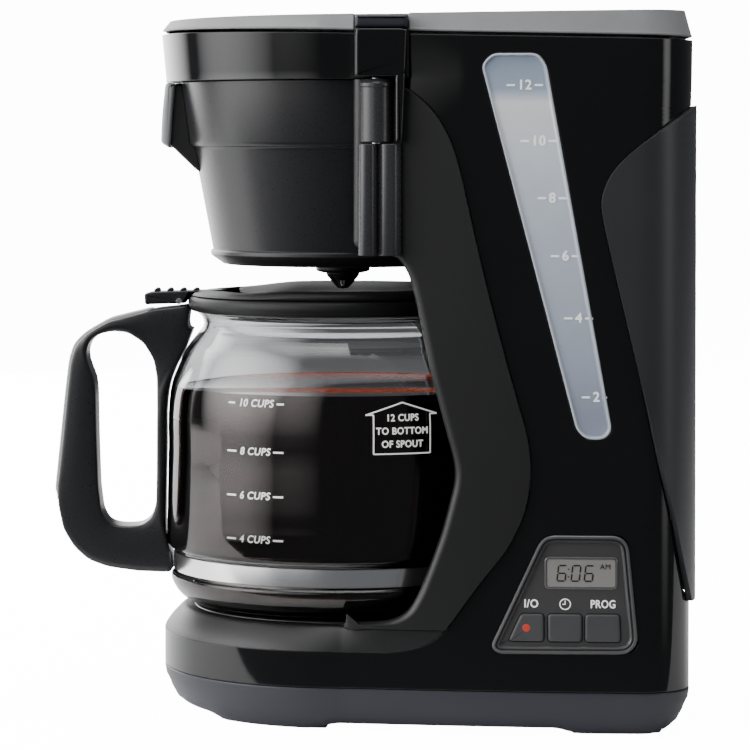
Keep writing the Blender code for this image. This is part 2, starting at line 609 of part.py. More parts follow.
def water_parts():
    """Tank behind the bay, valve and hose to the heater, riser and spray head."""
    tank = body_loft("water_tank", [(TANK_FLOOR, INNER_INSET + GAP), (HEAD_LOW - 20.0, INNER_INSET + GAP),
                                    (270.0, 4.3)])
    cut(tank, box("tank_front", (-130.0, -120.0, 90.0), (TANK_FRONT_X, 120.0, 290.0)))
    cut(tank, bay_solid("tank_bay", WALL + TANK_CLEAR, 90.0, BAY_TOP + WALL + GAP))
    inside = INNER_INSET + GAP + TANK_WALL
    hollow = body_loft("tank_hollow", [(TANK_FLOOR + WALL, inside), (HEAD_LOW - 20.0, inside), (280.0, 6.9)])
    cut(hollow, box("hollow_front", (-130.0, -120.0, 90.0), (TANK_FRONT_X + WALL, 120.0, 290.0)))
    cut(hollow, bay_solid("hollow_bay", WALL + TANK_CLEAR + TANK_WALL, 90.0, BAY_TOP + WALL + GAP + TANK_WALL))
    cut(hollow, rod("riser_wall", RISER, RISER_SHAFT_R + 2.2, 90.0, 290.0, steps=20))
    cut(tank, hollow, rod("riser_shaft", RISER, RISER_SHAFT_R, 90.0, 290.0, steps=20))
    cut(tank, rod("tank_outlet", OUTLET, 3.0, 90.0, 105.0, steps=16))
    valve_low = TANK_FLOOR - 12.0
    valve = rod("check_valve", OUTLET, 7.0, valve_low, TANK_FLOOR - 0.2, steps=20)
    inlet = hose("inlet_hose", rounded_path([(*OUTLET, valve_low - 0.2), (*OUTLET, HOSE_Z),
                                             (60.0, -HOSE_Y, HOSE_Z), (HOSE_X, -HOSE_Y, HOSE_Z)], 14.0), 4.5, 1)
    riser = hose("riser_tube", rounded_path([(HOSE_X, HOSE_Y, HOSE_Z), (70.0, HOSE_Y, HOSE_Z), (*RISER, HOSE_Z),
                                             (*RISER, RISER_TOP), (60.0, 30.0, RISER_TOP),
                                             (AXIS_X, 0.0, RISER_TOP), (AXIS_X, 0.0, SHOWER_SEAT + 5.0)], 10.0), 3.4, 1)
    shower = lathe("shower_head", SHOWER_PROFILE, steps=36)
    return tank, valve, inlet, riser, shower


def heater_parts():
    """Warming plate, its gasket and the heating tube with its two safety devices."""
    plate = lathe("warming_plate", PLATE_PROFILE)
    gasket = lathe("plate_gasket", GASKET_PROFILE)
    path = [(HOSE_X - GAP, -HOSE_Y, HOSE_Z), (31.0, -HOSE_Y, HOSE_Z)]
    for index in range(19):
        angle = math.radians(-20 - 320 * index / 18)
        path.append((AXIS_X + 38 * math.cos(angle), 38 * math.sin(angle), 36.4))
    path += [(31.0, HOSE_Y, HOSE_Z), (HOSE_X - GAP, HOSE_Y, HOSE_Z)]
    tube = hose("heater_tube", path, 4.7, 1)
    thermostat = rod("thermostat", (AXIS_X, 0.0), 9.0, 31.0, 41.2)
    fuse = rod("thermal_fuse", (14.0, 38.4), 2.8, -4.0, 14.0, "X", 12)
    return plate, gasket, tube, thermostat, fuse


def basket_parts():
    """Swing-out holder with its grip, filter basket, valve seat, valve and spring."""
    holder = lathe("basket_holder", BASKET_OUTER + BASKET_INNER)
    arm = box("basket_arm", (0.4, -75.0, BARREL_LOW), (7.6, -66.6, BARREL_TOP))
    barrel = rod("basket_barrel", (HINGE_X, HINGE_Y), BARREL_R, BARREL_LOW, BARREL_TOP)
    join(barrel, arm)
    join(holder, barrel)
    cut(holder, rod("barrel_bore", (HINGE_X, HINGE_Y), PIN_R + GAP, 230.0, 270.0, steps=16))
    cut(holder, lathe("holder_inside", [(0.0, 236.0), (62.0, 236.0), (66.3, 264.0), (0.0, 264.0)]))
    grip = across("basket_grip", GRIP, -GRIP_HALF, GRIP_HALF)
    bevel(grip, 2.0, 2)
    clear = [(0.0, 180.0), (54.0, 180.0)] + [(radius + 0.2, z) for radius, z in BASKET_OUTER[4:]] + [(69.0, 270.0),
                                                                                                  (0.0, 270.0)]
    cut(grip, lathe("grip_clear", clear))
    cut(grip, across("grip_hollow", [(-72.0, 221.0), (-80.0, 232.0), (-81.5, 256.0), (-60.0, 256.0),
                                     (-60.0, 221.0)], -GRIP_HALF + 3, GRIP_HALF - 3))
    strainer = lathe("filter_basket", FILTER_PROFILE)
    seat = lathe("valve_seat", SEAT_PROFILE, steps=FINE_STEPS)
    valve = lathe("drip_valve", VALVE_PROFILE, steps=FINE_STEPS)
    coil = []
    turns = 3
    for index in range(turns * 12 + 1):
        angle = 2 * math.pi * index / 12
        coil.append((AXIS_X + 5.4 * math.cos(angle), 5.4 * math.sin(angle),
                     187.0 + 3.2 * index / (turns * 12)))
    spring = hose("valve_spring", coil, 0.4, 0)
    return holder, grip, strainer, seat, valve, spring


def top_lid():
    lid = body_loft("top_lid", [(lid_bottom, 0.0), (lambda x: lid_bottom(x) + 1.0, 0.0), (lid_top, LID_SLOPE)])
    cut(lid, body_loft("lid_hollow", [(270.0, WALL), (lid_bottom, WALL),
                                      (lambda x: lid_top(x) - 2.2, LID_SLOPE + WALL)]))
    for side in (-1.0, 1.0):
        for place in (-1.0, 1.0):
            y = side * LUG_Y + place * (LUG_HALF + 2.2)
            join(lid, box(f"knuckle_{side:+.0f}{place:+.0f}", (REAR_X - 5.25, y - 1.7, 280.4),
                          (REAR_X - 1.05, y + 1.7, 287.6)))
        cut(lid, box(f"lug_space_{side:+.0f}", (REAR_X - 4.65, side * LUG_Y - LUG_HALF - 0.4, 270.0),
                     (REAR_X + 8.55, side * LUG_Y + LUG_HALF + 0.4, 284.3)))
        cut(lid, rod(f"lid_bore_{side:+.0f}", LID_PIN, LID_PIN_R + 0.3, side * LUG_Y - 7.3, side * LUG_Y + 7.3,
                     "Y", 16))
    cut(lid, box("boss_notch", (-4.6, -95.0, 270.0), (17.6, -69.1, 300.0)))
    cut(lid, box("finger_notch", (-95.0, -9.0, 270.0), (-83.4, 9.0, 285.6)))
    pins = [rod(f"lid_pin_{name}", LID_PIN, LID_PIN_R, side * LUG_Y - 6.4, side * LUG_Y + 6.4, "Y", 16)
            for name, side in (("near", -1.0), ("far", 1.0))]
    return lid, pins


def carafe_parts():
    """Glass bowl, collar, handle with its inlay and screw, lid and the lid's pin."""
    inner = [(max(radius - GLASS_WALL, 0.0), z) for radius, z in GLASS_OUTER[2:]]
    inner[0] = (58.5, CARAFE_Z + 3.2)
    bowl = lathe("carafe_glass", GLASS_OUTER + inner[::-1] + [(0.0, CARAFE_Z + 2.4)])
    collar = lathe("carafe_collar", COLLAR_PROFILE)
    handle = across("carafe_handle", HANDLE_OUTER, -HANDLE_HALF, HANDLE_HALF)
    bevel(handle, HANDLE_BEVEL, 2)
    hole = across("handle_hole", HANDLE_INNER, -30.0, 30.0)
    clear = [(0.0, 30.0), (60.4, 30.0)] + [(radius + GAP, z) for radius, z in GLASS_OUTER[2:16]]
    clear += [(65.7, 158.0), (65.7, 180.0), (0.0, 180.0)]
    cut(handle, hole, lathe("handle_clear", clear))
    strip = slice(1, 9)
    inset = grow(HANDLE_OUTER, -INLAY_DEEP)[strip]
    inlay = across("handle_inlay", HANDLE_OUTER[strip] + inset[::-1], -INLAY_HALF, INLAY_HALF)
    groove = grow(HANDLE_OUTER, -INLAY_DEEP - GAP)[strip]
    outside = grow(HANDLE_OUTER, 3.0)[strip]
    for line in (groove, outside):
        line[0] = (line[0][0] + 1.0, line[0][1])
        line[-1] = (line[-1][0], line[-1][1] - 1.0)
    cut(handle, across("inlay_groove", outside + groove[::-1], -INLAY_HALF - GAP, INLAY_HALF + GAP))
    for side in (-1.0, 1.0):
        low, high = sorted((side * 6.4, side * 9.4))
        join(handle, box(f"handle_lug_{side:+.0f}", (-81.0, low, 164.0), (-76.2, high, 172.6)))
    cut(handle, rod("handle_pin_bore", CARAFE_PIN, CARAFE_PIN_R + 0.05, -12.0, 12.0, "Y", 16))
    cut(handle, rod("handle_screw_head_hole", (-94.0, 0.0), 3.5, 50.0, 59.0, steps=16))
    cut(handle, rod("handle_screw_hole", (-94.0, 0.0), SCREW_R + GAP, 50.0, 71.0, steps=16))
    screw = lathe("handle_screw", [(0.0, 57.2), (1.0, 57.2), (1.0, 56.8), (3.2, 56.8), (3.2, 58.7),
                                   (SCREW_R, 58.7), (SCREW_R, 70.6), (0.0, 70.6)], (-94.0, 0.0), 16)
    lid = lathe("carafe_lid", LID_PROFILE)
    lever = across("lid_lever", [(-75.6, 172.9), (-76.0, 168.6), (-93.6, 168.4), (-93.6, 172.8), (-88.0, 174.6),
                                 (-72.0, 174.7), (-66.0, 174.4), (-66.0, 172.9)], -6.0, 6.0)
    join(lid, lever)
    cut(lid, rod("lever_bore", CARAFE_PIN, CARAFE_PIN_R + GAP, -12.0, 12.0, "Y", 16))
    pin = rod("carafe_pin", CARAFE_PIN, CARAFE_PIN_R, -9.2, 9.2, "Y", 16)
    return bowl, collar, handle, inlay, screw, lid, pin


def group(name, place, *objects):
    """Empty on a joint's axis that carries the pieces moving about it."""
    empty = bpy.data.objects.new(name, None)
    empty.location = tuple(value * MM for value in place)
    empty.empty_display_size = 0.01
    bpy.context.scene.collection.objects.link(empty)
    bpy.context.view_layer.update()
    for obj in objects:
        obj.parent = empty
        obj.matrix_parent_inverse = empty.matrix_world.inverted()


def build():
    for obj in list(bpy.data.objects):
        bpy.data.objects.remove(obj, do_unlink=True)
    gloss = material("glossy_black", (0.012, 0.012, 0.013), 0.12)
    matte = material("matte_black", (0.018, 0.018, 0.018), 0.55)
    satin = material("satin_grey", (0.035, 0.036, 0.038), 0.4)
    skirt = material("skirt_grey", (0.05, 0.055, 0.065), 0.5)
    grained = material("grained_grey", (0.1, 0.1, 0.1), 0.6)
    rubber = material("rubber", (0.02, 0.02, 0.02), 0.85)
    steel = material("steel", (0.6, 0.6, 0.6), 0.3, 1.0)
    clear = material("clear", (0.8, 0.9, 0.95), 0.05, 0.0, 1.0)
    glass = material("carafe_glass", (0.95, 0.97, 0.97), 0.02, 0.0, 1.0)
    enamel = material("plate_coating", (0.02, 0.02, 0.02), 0.35)
    light_grey = material("light_grey", (0.35, 0.36, 0.37), 0.4)
    green = material("circuit_board", (0.02, 0.12, 0.05), 0.5)
    red = material("red_lens", (0.6, 0.02, 0.01), 0.3)
    hose_white = material("hose_silicone", (0.6, 0.6, 0.58), 0.5)
    panel_black = material("panel_black", (0.01, 0.01, 0.012), 0.3)
    lens_tint = material("display_tint", (0.12, 0.14, 0.12), 0.15)

    pan_and_screws, feet = base_parts()
    dress(skirt, pan_and_screws[0])
    dress(steel, *pan_and_screws[1:])
    dress(rubber, *feet)
    dress(matte, front_frame())
    dress(gloss, main_housing())
    dress(satin, rear_cover())
    column, boss, pin = hinge_parts()
    dress(satin, column)
    dress(gloss, boss)
    dress(steel, pin)
    window, panel, lens, keys, lamp, board = near_side_parts()
    dress(clear, window)
    dress(panel_black, panel)
    dress(lens_tint, lens)
    dress(light_grey, *keys)
    dress(red, lamp)
    dress(green, board)
    tank, check, inlet, riser, shower = water_parts()
    dress(clear, tank)
    dress(light_grey, check)
    dress(hose_white, inlet, riser)
    dress(satin, shower)
    plate, gasket, tube, thermostat, fuse = heater_parts()
    dress(enamel, plate)
    dress(rubber, gasket)
    dress(steel, tube, thermostat, fuse)
    gland = cut(rod("cord_gland", GLAND, GLAND_R, REAR_X - 7.45, REAR_X - 0.25, "X", 20),
                rod("cord_hole", GLAND, CORD_R, REAR_X - 11.45, REAR_X + 8.55, "X", 16))
    dress(rubber, gland)
    holder, grip, strainer, seat, valve, spring = basket_parts()
    dress(satin, holder, strainer)
    dress(light_grey, grip, valve)
    dress(matte, seat)
    dress(steel, spring)
    lid, pins = top_lid()
    dress(grained, lid)
    dress(steel, *pins)
    bowl, collar, handle, inlay, screw, carafe_lid, carafe_pin = carafe_parts()
    dress(glass, bowl)
    dress(satin, collar, handle, carafe_lid)
    dress(light_grey, inlay)
    dress(steel, screw, carafe_pin)

    group("basket_axis", (HINGE_X, HINGE_Y, BARREL_TOP), holder, grip, strainer, seat, spring, valve)
    group("lid_axis", (LID_PIN[0], 0.0, LID_PIN[1]), lid)
    group("carafe_axis", (AXIS_X, 0.0, CARAFE_Z), bowl, collar, handle, inlay, screw, carafe_pin)
    group("carafe_lid_axis", (CARAFE_PIN[0], 0.0, CARAFE_PIN[1]), carafe_lid)


build()
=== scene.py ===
# Drip coffee maker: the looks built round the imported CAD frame.
# X runs from the carafe handle to the back, Y away from the control panel, Z up.
# Sizes are in millimetres until a mesh is made.
import math

import bmesh
import bpy
import numpy as np
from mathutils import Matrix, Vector


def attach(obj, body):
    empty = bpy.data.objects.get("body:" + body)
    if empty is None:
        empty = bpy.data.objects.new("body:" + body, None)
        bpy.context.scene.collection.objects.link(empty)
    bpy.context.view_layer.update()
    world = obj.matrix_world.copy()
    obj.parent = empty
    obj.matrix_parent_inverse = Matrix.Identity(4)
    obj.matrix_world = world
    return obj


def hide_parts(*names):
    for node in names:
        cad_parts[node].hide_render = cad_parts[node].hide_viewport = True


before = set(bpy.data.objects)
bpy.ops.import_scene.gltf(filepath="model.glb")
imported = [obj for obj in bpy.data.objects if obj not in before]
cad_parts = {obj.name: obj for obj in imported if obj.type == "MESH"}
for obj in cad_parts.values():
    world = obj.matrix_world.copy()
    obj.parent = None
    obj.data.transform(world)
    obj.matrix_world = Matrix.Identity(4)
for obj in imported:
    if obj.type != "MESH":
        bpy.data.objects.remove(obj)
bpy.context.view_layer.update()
mm = 0.001
axisX = -9.65  # upright axis of the head, the deck and the carafe


def note(text):
    print("scene:", text, flush=True)


# Shader node with its settings and inputs given by name.
def node(tree, kind, **settings):
    made = tree.nodes.new("ShaderNode" + kind)
    for key, value in settings.items():
        if hasattr(made, key):
            setattr(made, key, value)
        else:
            made.inputs[key.replace("_", " ")].default_value = value
    return made


# Moulded or painted surface: the colour and roughness drift with slow noise, fine noise makes the grain.
def surface(name, colour, roughness=0.4, drift=0.15, grain=0.6, depth=0.02, slow=25, edge=0.3, **extra):
    made = bpy.data.materials.new(name)
    made.use_nodes = True
    tree = made.node_tree
    shader = tree.nodes["Principled BSDF"]
    for key, value in extra.items():
        shader.inputs[key.replace("_", " ")].default_value = value
    place = node(tree, "TexCoord")
    slowNoise = node(tree, "TexNoise", Scale=1000 / slow, Detail=4, Roughness=0.6)
    fineNoise = node(tree, "TexNoise", Scale=1000 / grain, Detail=3, Roughness=0.55)
    tree.links.new(place.outputs["Object"], slowNoise.inputs["Vector"])
    tree.links.new(place.outputs["Object"], fineNoise.inputs["Vector"])
    mix = node(tree, "Mix", data_type="RGBA")
    mix.inputs[6].default_value = (*[c * (1 - drift) for c in colour], 1)
    mix.inputs[7].default_value = (*[c * (1 + drift) for c in colour], 1)
    tree.links.new(slowNoise.outputs["Fac"], mix.inputs[0])
    tree.links.new(mix.outputs[2], shader.inputs["Base Color"])
    rough = node(tree, "MapRange")
    rough.inputs["From Min"].default_value = 0.3
    rough.inputs["From Max"].default_value = 0.7
    rough.inputs["To Min"].default_value = roughness * (1 - drift)
    rough.inputs["To Max"].default_value = roughness * (1 + drift)
    tree.links.new(fineNoise.outputs["Fac"], rough.inputs["Value"])
    tree.links.new(rough.outputs["Result"], shader.inputs["Roughness"])
    bump = node(tree, "Bump", Strength=1, Distance=depth * mm)
    tree.links.new(fineNoise.outputs["Fac"], bump.inputs["Height"])
    tree.links.new(bump.outputs["Normal"], shader.inputs["Normal"])
    if edge:
        soft = node(tree, "Bevel", samples=4, Radius=edge * mm)
        tree.links.new(soft.outputs["Normal"], bump.inputs["Normal"])
    return made


looks = {
    "gloss": surface("glossBlack", (0.005, 0.005, 0.0055), 0.07, 0.2, 3, 0.0015, 40, 0.5),
    "matte": surface("matteBlack", (0.007, 0.007, 0.0075), 0.45, 0.15, 0.55, 0.02, 30, 0.6),
    "satin": surface("satinBlack", (0.014, 0.014, 0.0155), 0.3, 0.12, 0.7, 0.008, 30, 0.4),
    "skirt": surface("skirtBlack", (0.03, 0.031, 0.041), 0.4, 0.12, 0.6, 0.012, 30, 0.5,
                     Specular_IOR_Level=0.35),
    "lid": surface("lidGrain", (0.24, 0.242, 0.246), 0.55, 0.15, 0.8, 0.06, 20, 0.6),
    "rubber": surface("footRubber", (0.02, 0.02, 0.02), 0.8, 0.2, 0.8, 0.03, 12, 0.3),
    "steel": surface("plainSteel", (0.55, 0.55, 0.56), 0.28, 0.1, 0.4, 0.004, 8, 0.15, Metallic=1),
    "plate": surface("plateCoat", (0.015, 0.015, 0.015), 0.35, 0.2, 0.5, 0.012, 15, 0.3),
    "inlay": surface("inlayGrey", (0.38, 0.385, 0.39), 0.32, 0.08, 0.7, 0.006, 20, 0.2),
    "tank": surface("tankClear", (0.78, 0.85, 0.9), 0.12, 0.05, 4, 0.01, 30, 0, Transmission_Weight=0.8),
    "board": surface("boardGreen", (0.02, 0.12, 0.05), 0.45, 0.3, 2.5, 0.02, 6, 0.2),
    "hose": surface("hoseMilk", (0.62, 0.62, 0.58), 0.45, 0.08, 1.5, 0.01, 15, 0, Subsurface_Weight=0.2),
    "panel": surface("panelBlack", (0.009, 0.009, 0.01), 0.22, 0.2, 1.2, 0.004, 20, 0.3),
    "key": surface("keyGrey", (0.07, 0.07, 0.073), 0.4, 0.12, 0.6, 0.01, 10, 0.3),
    # Print is white; its weak emission is a painted glow that makes it read brighter than the lamps light
    # it.
    "print": surface("printWhitePaintedGlow", (0.92, 0.92, 0.92), 0.45, 0.04, 0.5, 0.002, 8, 0,
                     Emission_Color=(1, 1, 1, 1), Emission_Strength=0.45),
    "printWarm": surface("printOnGlassPaintedGlow", (0.92, 0.92, 0.9), 0.4, 0.04, 0.5, 0.002, 8, 0,
                         Emission_Color=(1, 1, 0.97, 1), Emission_Strength=0.5),
}
looks["column"] = surface("columnSatin", (0.035, 0.035, 0.038), 0.28, 0.12, 0.7, 0.008, 30, 0.4)
looks["rear"] = surface("rearSatin", (0.032, 0.032, 0.036), 0.38, 0.12, 0.7, 0.008, 30, 0.4)
looks["dark"] = surface("darkSatin", (0.006, 0.006, 0.0065), 0.5, 0.12, 0.7, 0.01, 30, 0.4,
                        Specular_IOR_Level=0.3)
note("materials ready")


# Quads of a grid of rows x columns, optionally only where keep (one flag for each face) is true.
def gridFaces(rows, columns, keep=None):
    r, c = np.meshgrid(np.arange(rows - 1), np.arange(columns - 1), indexing="ij")
    corner = (r * columns + c)
    faces = np.stack([corner, corner + 1, corner + columns + 1, corner + columns], -1)
    return faces[keep] if keep is not None else faces.reshape(-1, 4)


# Welds points within a hair of each other, turns the faces outwards and marks edges over the angle sharp.
def settleMesh(mesh, sharp=32, turn=True):
    sculpt = bmesh.new()
    sculpt.from_mesh(mesh)
    bmesh.ops.remove_doubles(sculpt, verts=sculpt.verts, dist=0.004 * mm)
    bmesh.ops.dissolve_degenerate(sculpt, edges=sculpt.edges, dist=0.001 * mm)
    if turn:
        bmesh.ops.recalc_face_normals(sculpt, faces=sculpt.faces)
    loose = [v for v in sculpt.verts if not v.link_faces]
    bmesh.ops.delete(sculpt, geom=loose, context="VERTS")
    sculpt.to_mesh(mesh)
    sculpt.free()
    mesh.shade_smooth()
    mesh.set_sharp_from_angle(angle=math.radians(sharp))


# Mesh object from points in millimetres and faces, with its look, body and the CAD nodes it stands for.
def addPiece(name, points, faces, look, body="machine", stands=(), sharp=32):
    mesh = bpy.data.meshes.new(name)
    places = (np.asarray(points, float).reshape(-1, 3) * mm).tolist()
    mesh.from_pydata(places, [], [list(map(int, face)) for face in faces])
    settleMesh(mesh, sharp)
    obj = bpy.data.objects.new(name, mesh)
    bpy.context.scene.collection.objects.link(obj)
    mesh.materials.append(looks[look] if isinstance(look, str) else look)
    if body:
        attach(obj, body)
    if stands:
        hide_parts(*stands)
    return obj


# Piece from a grid of points, rows x columns.
def gridPiece(name, grid, look, body="machine", stands=(), sharp=32):
    return addPiece(name, grid, gridFaces(*grid.shape[:2]), look, body, stands, sharp)


# Modifiers made part of the mesh, with the sharp edges found again.
def bake(obj, sharp=32):
    graph = bpy.context.evaluated_depsgraph_get()
    mesh = bpy.data.meshes.new_from_object(obj.evaluated_get(graph))
    obj.modifiers.clear()
    obj.data = mesh
    settleMesh(mesh, sharp, turn=False)
    return obj


# Wall grown inwards from the faces.
def thicken(obj, wall):
    solid = obj.modifiers.new("Wall", "SOLIDIFY")
    solid.thickness = wall * mm
    solid.offset = -1
    solid.use_even_offset = True
    return obj


# Exact cut by closed pieces, which are then removed.
def cutAway(obj, *tools):
    for tool in tools:
        cut = obj.modifiers.new("Cut", "BOOLEAN")
        cut.operation = "DIFFERENCE"
        cut.solver = "EXACT"
        cut.object = tool
    bake(obj)
    for tool in tools:
        bpy.data.objects.remove(tool)
    return obj


# Smooth line through corners: cubic between them, with tangents from the neighbours, per samples each.
def smoothLine(corners, per=8, closed=False):
    c = np.asarray(corners, float)
    if closed:
        ring = np.vstack([c[-1:], c, c[:2]])
    else:
        ring = np.vstack([2 * c[:1] - c[1:2], c, 2 * c[-1:] - c[-2:-1]])
    p0, p1, p2, p3 = ring[:-3], ring[1:-2], ring[2:-1], ring[3:]
    span = np.linalg.norm(np.diff(ring, axis=0), axis=1)[:, None] + 1e-9
    a, b, d = span[:-2], span[1:-1], span[2:]
    m1 = (p2 - p1) * a / (a + b) + (p1 - p0) / a * b * b / (a + b)
    m2 = (p2 - p1) * d / (b + d) + (p3 - p2) / d * b * b / (b + d)
    t = np.linspace(0, 1, per, endpoint=False)[None, :, None]
    p1, p2, m1, m2 = p1[:, None], p2[:, None], m1[:, None], m2[:, None]
    line = ((2 * t**3 - 3 * t**2 + 1) * p1 + (t**3 - 2 * t**2 + t) * m1
            + (3 * t**2 - 2 * t**3) * p2 + (t**3 - t**2) * m2).reshape(-1, c.shape[1])
    return line if closed else np.vstack([line, c[-1:]])


# Line with each corner replaced by a parabola that starts and ends reach away from it.
def roundLine(corners, reach=1, steps=5, closed=False):
    c = np.asarray(corners, float)
    reach = np.broadcast_to(np.asarray(reach, float), (len(c),))[:, None]
    back = np.roll(c, 1, 0) - c
    on = np.roll(c, -1, 0) - c
    backLength = np.linalg.norm(back, axis=1)[:, None] + 1e-9
    onLength = np.linalg.norm(on, axis=1)[:, None] + 1e-9
    start = c + back / backLength * np.minimum(reach, backLength * 0.48)
    end = c + on / onLength * np.minimum(reach, onLength * 0.48)
    t = np.linspace(0, 1, steps)[None, :, None]
    line = (1 - t) ** 2 * start[:, None] + 2 * t * (1 - t) * c[:, None] + t**2 * end[:, None]
    if closed:
        return line.reshape(-1, c.shape[1])
    return np.vstack([c[:1], line[1:-1].reshape(-1, c.shape[1]), c[-1:]])


# Closed outline moved inwards by distance along the bisector of each corner.
def inset(outline, distance):
    p = np.asarray(outline, float)
    first = p - np.roll(p, 1, 0)
    second = np.roll(p, -1, 0) - p
    first = first / (np.linalg.norm(first, axis=1)[:, None] + 1e-9)
    second = second / (np.linalg.norm(second, axis=1)[:, None] + 1e-9)
    area = np.sum(p[:, 0] * np.roll(p[:, 1], -1) - np.roll(p[:, 0], -1) * p[:, 1])
    turn = np.sign(area)
    normal = np.stack([-(first[:, 1] + second[:, 1]), first[:, 0] + second[:, 0]], 1) * turn
    size = np.maximum(np.sum(normal**2, 1), 0.6)[:, None]
    return p + normal * 2 * distance / size


# Evenly spaced copy of a closed outline, steps apart, so that long straight sides get points too.
def resample(outline, step=1.5):
    p = np.vstack([outline, outline[:1]])
    along = np.concatenate([[0], np.cumsum(np.linalg.norm(np.diff(p, axis=0), axis=1))])
    extra = np.arange(0, along[-1], step)
    places = np.unique(np.concatenate([along[:-1], extra]))
    places = places[np.concatenate([[True], np.diff(places) > step * 0.12])]
    return np.stack([np.interp(places, along, p[:, i]) for i in range(p.shape[1])], 1)


# Turned piece: a (radius, height) line carried round an upright axis; a closed line makes a solid.
def turned(name, line, look, body, stands=(), centre=(axisX, 0), around=96, closed=True,
           sharp=32):
    line = np.asarray(line, float)
    if closed:
        line = np.vstack([line, line[:1]])
    angle = np.linspace(0, 2 * np.pi, around + 1)
    r, a = line[:, :1], angle[None, :]
    points = np.stack([centre[0] + r * np.cos(a), centre[1] + r * np.sin(a),
                       np.broadcast_to(line[:, 1:2], (len(line), around + 1))], -1)
    return gridPiece(name, points, look, body, stands, sharp)


# Stack of rings, each an equal count of points, closed round and capped at both ends by a shrinking copy.
def stacked(name, rings, look, body, stands=(), sharp=32, caps=(True, True)):
    rings = np.asarray(rings, float)
    rings = np.concatenate([rings, rings[:, :1]], 1)
    faces = list(gridFaces(rings.shape[0], rings.shape[1]))
    points = rings.reshape(-1, 3)
    count = rings.shape[1]
    for end, wanted in ((0, caps[0]), (rings.shape[0] - 1, caps[1])):
        if wanted:
            faces.append(list(range(end * count, end * count + count - 1)))
    return addPiece(name, points, faces, look, body, stands, sharp)


# (inset, height) steps over a block with rounded upper and lower edges of the given radius.
def pillow(low, high, radius, steps=5):
    a = np.linspace(0, np.pi / 2, steps)
    bottom = np.stack([radius * (1 - np.sin(a)), low + radius * (1 - np.cos(a))], 1)
    top = np.stack([radius * (1 - np.cos(a)), high - radius * (1 - np.sin(a))], 1)
    flat = radius + 0.25
    return np.vstack([[[flat, low]], bottom, top, [[flat, high]]])


# Upright block on a plan outline, edges rounded; along "Y" the outline is (x, z) and the heights are y.
def block(name, outline, low, high, radius, look, body="machine", stands=(), axis="Z"):
    rings = []
    for step, height in pillow(low, high, radius):
        ring = inset(outline, step)
        tall = np.full((len(ring), 1), height)
        order = [ring, tall] if axis == "Z" else [ring[:, :1], tall, ring[:, 1:]]
        rings.append(np.hstack(order))
    return stacked(name, rings, look, body, stands)


wall = {"frontR": 76, "rearX": 131.45, "rearHalf": 89, "cornerR": 22,
        "frontTop": 282.4, "rearTop": 278, "inset": 0.5, "thick": 2.4, "gap": 0.3,
        "frameLow": 32.6, "headLow": 262.6, "coverLow": 53, "coverHigh": 252}
arcEnd = wall["frontR"] * np.pi / 2
sideEnd = arcEnd + wall["rearX"] - wall["cornerR"] - axisX
cornerEnd = sideEnd + wall["cornerR"] * np.pi / 2


# Half the plan's width: the front radius plus a quarter sine that reaches the rear half width.
def halfWidth(x):
    share = np.clip((x - axisX) / (wall["rearX"] - axisX), 0, 1)
    return wall["frontR"] + (wall["rearHalf"] - wall["frontR"]) * np.sin(np.pi / 2 * share)


cornerY = float(halfWidth(wall["rearX"] - wall["cornerR"])) - wall["cornerR"]
rearEnd = cornerEnd + cornerY


# Distance along the plan, from the front centre, of the place at x on the side or the rear corner.
def alongOf(x):
    x = np.asarray(x, float)
    past = x - wall["rearX"] + wall["cornerR"]
    turn = np.arcsin(np.clip(past / (wall["cornerR"] - wall["inset"]), 0, 1))
    side = arcEnd + np.minimum(x, wall["rearX"] - wall["cornerR"]) - axisX
    return side + wall["cornerR"] * turn


# Plan point at distance u: quarter circle, widening side, rear corner and rear face, moved in by depth.
def planPoint(u, depth):
    u, depth = np.broadcast_arrays(np.asarray(u, float), np.asarray(depth, float))
    radius = wall["frontR"] - depth
    turn = u / wall["frontR"]
    sideX = axisX + u - arcEnd
    centreX = wall["rearX"] - wall["cornerR"]
    corner = (u - sideEnd) / wall["cornerR"]
    cornerR = wall["cornerR"] - depth
    zone = [u < arcEnd, u < sideEnd, u < cornerEnd]
    x = np.select(zone, [axisX - radius * np.cos(turn), sideX, centreX + cornerR * np.sin(corner)],
                  wall["rearX"] - depth)
    y = np.select(zone,
                  [radius * np.sin(turn), halfWidth(sideX) - depth, cornerY + cornerR * np.cos(corner)],
                  rearEnd - u)
    return x, y


# Distances along half the plan, with so many points on the front arc, the side, the corner and the rear.
def planSteps(front, side, corner, rear):
    ends = [0, arcEnd, sideEnd, cornerEnd, rearEnd]
    parts = [np.linspace(a, b, n)[:-1] for a, b,
             n in zip(ends[:-1], ends[1:], (front, side, corner, rear))]
    return np.concatenate(parts + [[rearEnd]])


# Whole ring from its near half: the far half is the mirror image, in the opposite order.
def wholeRing(near):
    return np.vstack([near, near[::-1][1:-1] * [1, -1, 1]])


# Depth of the wall inside the plan: even up to the head, then in and out again round the head's ring.
def wallDepth(x, z):
    behind = np.clip(x / 40, 0, 1)
    low = wall["inset"] + 0.9 * (1 - behind) - 0.6 * behind
    top = wall["frontTop"]
    first = np.interp(z, [243.7, 263.7], [0, 1])
    second = np.interp(z, [263.7, top], [0, 1])
    return wall["inset"] + (low - wall["inset"]) * first + (wall["inset"] - 0.8 - low) * second


# Upper edge: a straight fall from the front height to the rear height.
def bodyTop(x):
    share = (x - axisX + wall["frontR"]) / (wall["rearX"] - axisX + wall["frontR"])
    return wall["frontTop"] + (wall["rearTop"] - wall["frontTop"]) * share


# Wall surface: the plan point at u, moved in by the wall depth at height z; side is -1 on the near side.
def wallPoint(u, z, side=-1, extra=0):
    u, z = np.broadcast_arrays(np.asarray(u, float), np.asarray(z, float))
    x, _ = planPoint(u, 0)
    x, y = planPoint(u, wallDepth(x, z) + extra)
    return np.stack([x, y * side, z], -1)


